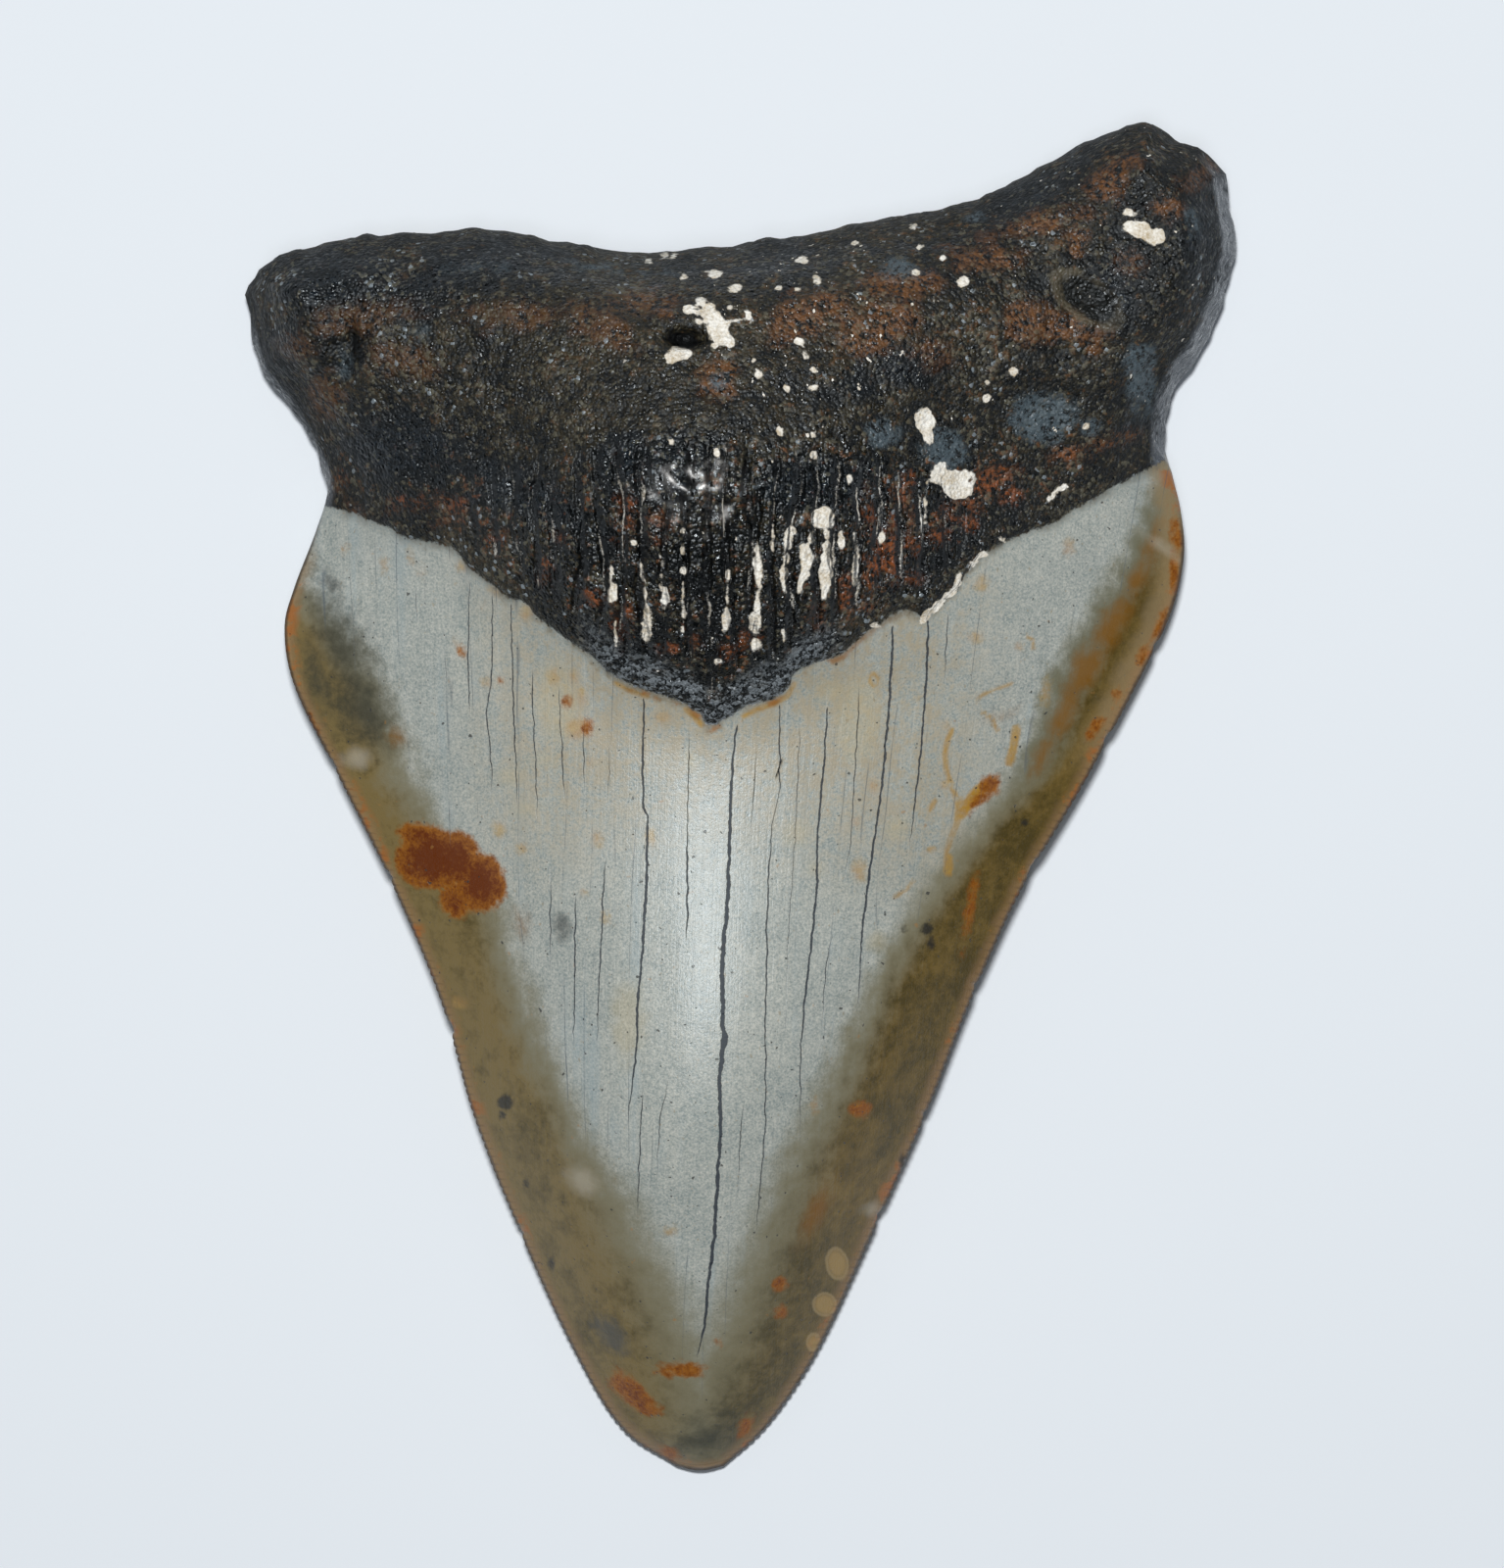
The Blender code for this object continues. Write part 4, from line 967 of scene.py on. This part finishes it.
def enamel_colour(g):
    """The marked enamel under a painted shadow along its cutting edges and under its cracks, with a dark
    fringe and a rusty line at the root.
    """
    coarse, middle, fine, grit = g.noises
    x, y, edge, broad = g.x, g.y, g.edge, g.broad_threads
    tip = (y + 16).between(0, -24)
    depth = g.read("core") + coarse * 2 + g.threads * 0.5 + middle * 2 + fine * 0.8
    depth = depth * (1 - tip * 0.5) - tip * 0.15
    ticks = g.start.maths("SINE", g.read("serration") * (2 * math.pi)).between(0.4, 1)
    # Painted shadow: a thin dark line just inside the cutting edges, standing in for the tooth's shadow on
    # the floor beside them.
    painted_edge_shadow = (edge + fine * 0.2).between(0.3, 0.08) * (y - 21).between(0, -3)
    faint = abs(g.start.maths("FRACT", g.thread * 0.62 + broad * 1.5) - 0.5).between(0.035, 0.008)
    faint = faint * (broad + g.threads * 0.6 + coarse).between(-0.02, 0.22)
    fringe = (g.rooted + fine * 0.9 + grit * 0.8 + middle * 0.6).between(-0.6, 0.05)
    rusty = abs(g.rooted + 0.2 + middle * 0.5).between(0.3, 0.03)
    rusty = rusty * (coarse + middle + (x + 2) * 0.02).between(0, 0.2)
    return spotted(g, margined(g, depth)).under(
        (ticks * edge.between(0.8, 0.2) * (8 - y).between(-6, 8), 0.3, (64, 50, 36)),
        (painted_edge_shadow, 0.75, (54, 42, 28)),
        (faint * depth.between(-0.5, 1.5), 0.6, (80, 90, 98)),
        (g.crack, 0.92, (30, 38, 50)),
        (fringe * (coarse + middle + 0.3).between(0, 0.5), 0.6, (74, 72, 62)),
        (rusty * abs(x + 2).between(15, 5), 0.8, (150, 100, 44)))


def root_colour(g):
    """Near-black, brown or blue-black ground under a painted blue sheen, rust, grains, painted glints, bare
    slate, a painted reflection on the side walls, the furrows with painted shade in them, and the pit.
    """
    coarse, middle, fine, grit = g.noises
    x, y, sort, lump = g.x, g.y, g.sort, g.lump
    brown = middle * 1.4 + coarse * 1.2 + fine * 1.8 + grit * 1.6 + sort * 0.6 - g.glossy * 0.3
    brown = brown - abs(x + 2).between(12, 20) * 0.2 + 0.1
    # A painted blue sheen, laid over the blue-black areas.
    painted_blue_sheen = (fine * 2.4 + grit * 1.6 + sort * 0.6).between(0.1, 0.9)
    black_band = (g.rooted + coarse * 2).between(2.4, 1.2)
    mottle = (fine * 3 + lump * 1.4 + grit * 1.6 + sort * 0.5 + 0.4).between(0.05, 0.9)
    rust = (g.read("rust") + middle * 2.4 + fine * 1.4).between(0.5, -0.4) * mottle
    loose_rust = (middle + fine * 1.4 + coarse * 0.4 + lump * 0.3 + grit * 0.3).between(0.12, 0.42)
    rust = rust.larger(loose_rust * 0.6) * (1 - black_band * 0.8) * (1 - g.jet * 0.7)
    rusty = (x + 6).between(-6, 6).blend((84, 60, 34), (114, 74, 36))
    rusty = (y - 24).between(-3, 3).blend((150, 82, 40), rusty)
    rusty = (fine * 2 + sort).between(0.1, 1.1).blend((78, 50, 26), rusty)
    pale_grains = (sort + fine * 0.8 + middle * 0.5 + coarse * 0.4).between(0.88, 0.98)
    # Painted glints: small bluish-white specks of colour standing in for highlights on the root's grains.
    painted_glints = (g.shine + middle * 0.3 + coarse * 0.3 + g.glossy * 0.02 + grit * 0.1).between(1, 1.03)
    slate = (g.read("slate") + middle * 2 + fine * 1.2).between(0.25, -0.4)
    slate = slate * (grit * 2.4 + fine * 3.4 + middle + 0.7).between(0.1, 0.9)
    slaty = (grit * 3 + g.wrinkles * 1.2 + fine * 1.6 + sort * 1.2 - 0.24).between(0, 1)
    pit = g.read("pit") + fine * 0.5
    pit_rim = abs(pit - 0.2).between(0.4, 0.06) * (coarse + middle + 0.35).between(0, 0.4)
    return (brown - g.jet * 0.55).blend((3, 4, 4), (54, 47, 28)).under(
        (g.jet * painted_blue_sheen, 0.5, (40, 50, 60)),
        (rust, 0.85, rusty),
        (pale_grains, 0.55, (92, 90, 76)),
        (painted_glints, 0.6, (146, 158, 166)),
        (slate, (x + 16).between(-6, 6) * 0.35 + 0.5, (78, 92, 100)),
        # painted reflection: the pale floor reflected on the steep side walls
        (g.wall, 0.75, (84, 90, 98)),
        (g.bourlette, 0.9, slaty.blend((8, 10, 12), (120, 128, 134))),
        # painted shade: the furrows' grooves coloured near-black
        (g.furrow_and_shade, 0.85, (5, 5, 5)),
        (pit.between(0.4, -0.4), 0.85, (14, 15, 12)),
        (pit_rim, 0.6, (94, 87, 70)))


def chalk_share(g):
    """How much chalk lies on each point: ragged marks, thin fill in the furrows, and loose specks."""
    _, _, fine, grit = g.noises
    x, y = g.x, g.y
    chalk = (g.read("chalk") + (g.lump * 0.45 + fine * 0.3 + grit * 0.14 + 0.01)).between(0.05, -0.05)
    streaks = g.noise(g.point(x * 1.2, y * 0.22, 15)) + grit * 0.4
    fill = g.lanes.between(0.07, 0.02) * streaks.between(0.04, 0.16) * g.furrowed.between(0.2, 0.7)
    fill = fill * (x.between(0, 6) * 0.25 + 0.5)
    strewn = (abs(x - 6) * 0.08 + abs(y - 31) * 0.1).between(1.2, 0.3) * 0.045
    specks = (g.noise(g.point(x + 80, y * 0.7, g.z), 2) + grit * 0.14 + strewn).between(0.235, 0.262)
    specks = specks * (x + 12).between(-4, 12)
    return chalk.larger(specks.larger(fill * (1 - g.bourlette)) * g.bone) * g.lingual


def tooth_finish():
    material = bpy.data.materials.new("fossil_tooth")
    material.use_nodes = True
    shader = material.node_tree.nodes["Principled BSDF"].inputs
    g = Ground(material.node_tree)
    _, middle, fine, grit = g.noises
    bone, wet = g.bone, g.wet
    chalk = chalk_share(g)
    chalk_colour = (fine * 1.4 + grit * 1.8 + middle * 1.6 + 0.65).blend((190, 174, 144), (248, 247, 240))
    colour = bone.blend(enamel_colour(g), root_colour(g)).under((chalk, 0.97, chalk_colour))
    # Painted shade: the holes are coloured near-black.
    painted_hole_shade = (g.read("painted_hole_shade") + fine * 0.2).between(0.2, -0.05)
    painted_hole_shade.blend(colour, (2, 2, 2)).feed(shader["Base Color"])

    enamel_gloss = 0.36 + fine * 0.2 + grit * 0.2 + g.crack * 0.3
    root_gloss = 0.6 - g.glossy * 0.2 - wet * 0.12 - g.shine.between(0.5, 1) * 0.3
    root_gloss = root_gloss + g.edge.between(3.4, 1.2) * 0.4 + (g.x - 6).between(0, 16) * 0.05
    root_gloss = root_gloss + middle * 0.2 - g.bourlette * 0.1 - g.wall * 0.65 - g.jet * 0.08
    (enamel_gloss * (1 - bone) + root_gloss * bone + chalk * 0.3).feed(shader["Roughness"])
    shader["Specular Tint"].default_value = (0.86, 0.94, 1, 1)
    (wet * (1 - chalk) * (fine * 1.6 + g.sort * 0.6 + 0.3).between(0.06, 0.7)).feed(shader["Coat Weight"])
    shader["Coat Roughness"].default_value = 0.3

    skin = g.threads * 0.019 + g.fine_threads * 0.013 + fine * 0.03 + grit * 0.026
    skin = skin - g.crack * 0.06 - g.pits * 0.05
    crumb = g.lump * 0.2 + fine * 0.08 + grit * 0.03 + middle * 0.16 - g.furrow_and_shade * 0.4 + chalk * 0.08
    crumb = crumb + g.wrinkles * g.bourlette * 0.12 - g.grains * (0.1 - wet * 0.04)
    height = skin * (1 - bone) + crumb * bone
    bump = g.start.node("Bump", {}, {"Strength": 1, "Distance": MM, "Height": height})
    bump.feed(shader["Normal"])
    return material


def floor_finish():
    material = bpy.data.materials.new("pale_floor")
    material.use_nodes = True
    shader = material.node_tree.nodes["Principled BSDF"].inputs
    shader["Base Color"].default_value = srgb(224, 231, 238)
    shader["Roughness"].default_value = 0.9
    shader["Specular IOR Level"].default_value = 0.1
    return material


# ---------------------------------------------------------------- the stage


def make_floor():
    mesh = bmesh.new()
    bmesh.ops.create_grid(mesh, x_segments=1, y_segments=1, size=FLOOR_HALF_WIDTH)
    data = bpy.data.meshes.new("floor")
    mesh.to_mesh(data)
    mesh.free()
    data.materials.append(floor_finish())
    floor = bpy.data.objects.new("floor", data)
    bpy.context.scene.collection.objects.link(floor)


def make_light(name, place_at, size, energy, colour):
    data = bpy.data.lights.new(name, "AREA")
    data.shape = "DISK"
    data.size = size
    data.energy = energy
    data.color = colour
    light = bpy.data.objects.new(name, data)
    light.location = place_at
    light.rotation_euler = (-Vector(place_at)).to_track_quat("-Z", "Y").to_euler()
    bpy.context.scene.collection.objects.link(light)


def make_world():
    world = bpy.data.worlds.new("studio")
    world.use_nodes = True
    background = world.node_tree.nodes["Background"]
    background.inputs["Color"].default_value = WORLD_COLOUR
    background.inputs["Strength"].default_value = WORLD_STRENGTH
    bpy.context.scene.world = world


def make_camera():
    data = bpy.data.cameras.new("camera")
    data.sensor_width = SENSOR
    data.lens = SENSOR * (CAMERA_HEIGHT - FOCUS_HEIGHT) / VIEW_HEIGHT
    data.clip_start = 0.01
    camera = bpy.data.objects.new("camera", data)
    camera.location = (*VIEW_CENTRE, CAMERA_HEIGHT)
    bpy.context.scene.collection.objects.link(camera)
    bpy.context.scene.camera = camera


make_camera()
make_floor()
make_world()
for light in LIGHTS:
    make_light(*light)
bpy.context.scene.view_settings.view_transform = "Standard"

tooth = make_tooth()
tooth.data.materials.append(tooth_finish())
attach(tooth, "root")
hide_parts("tooth")
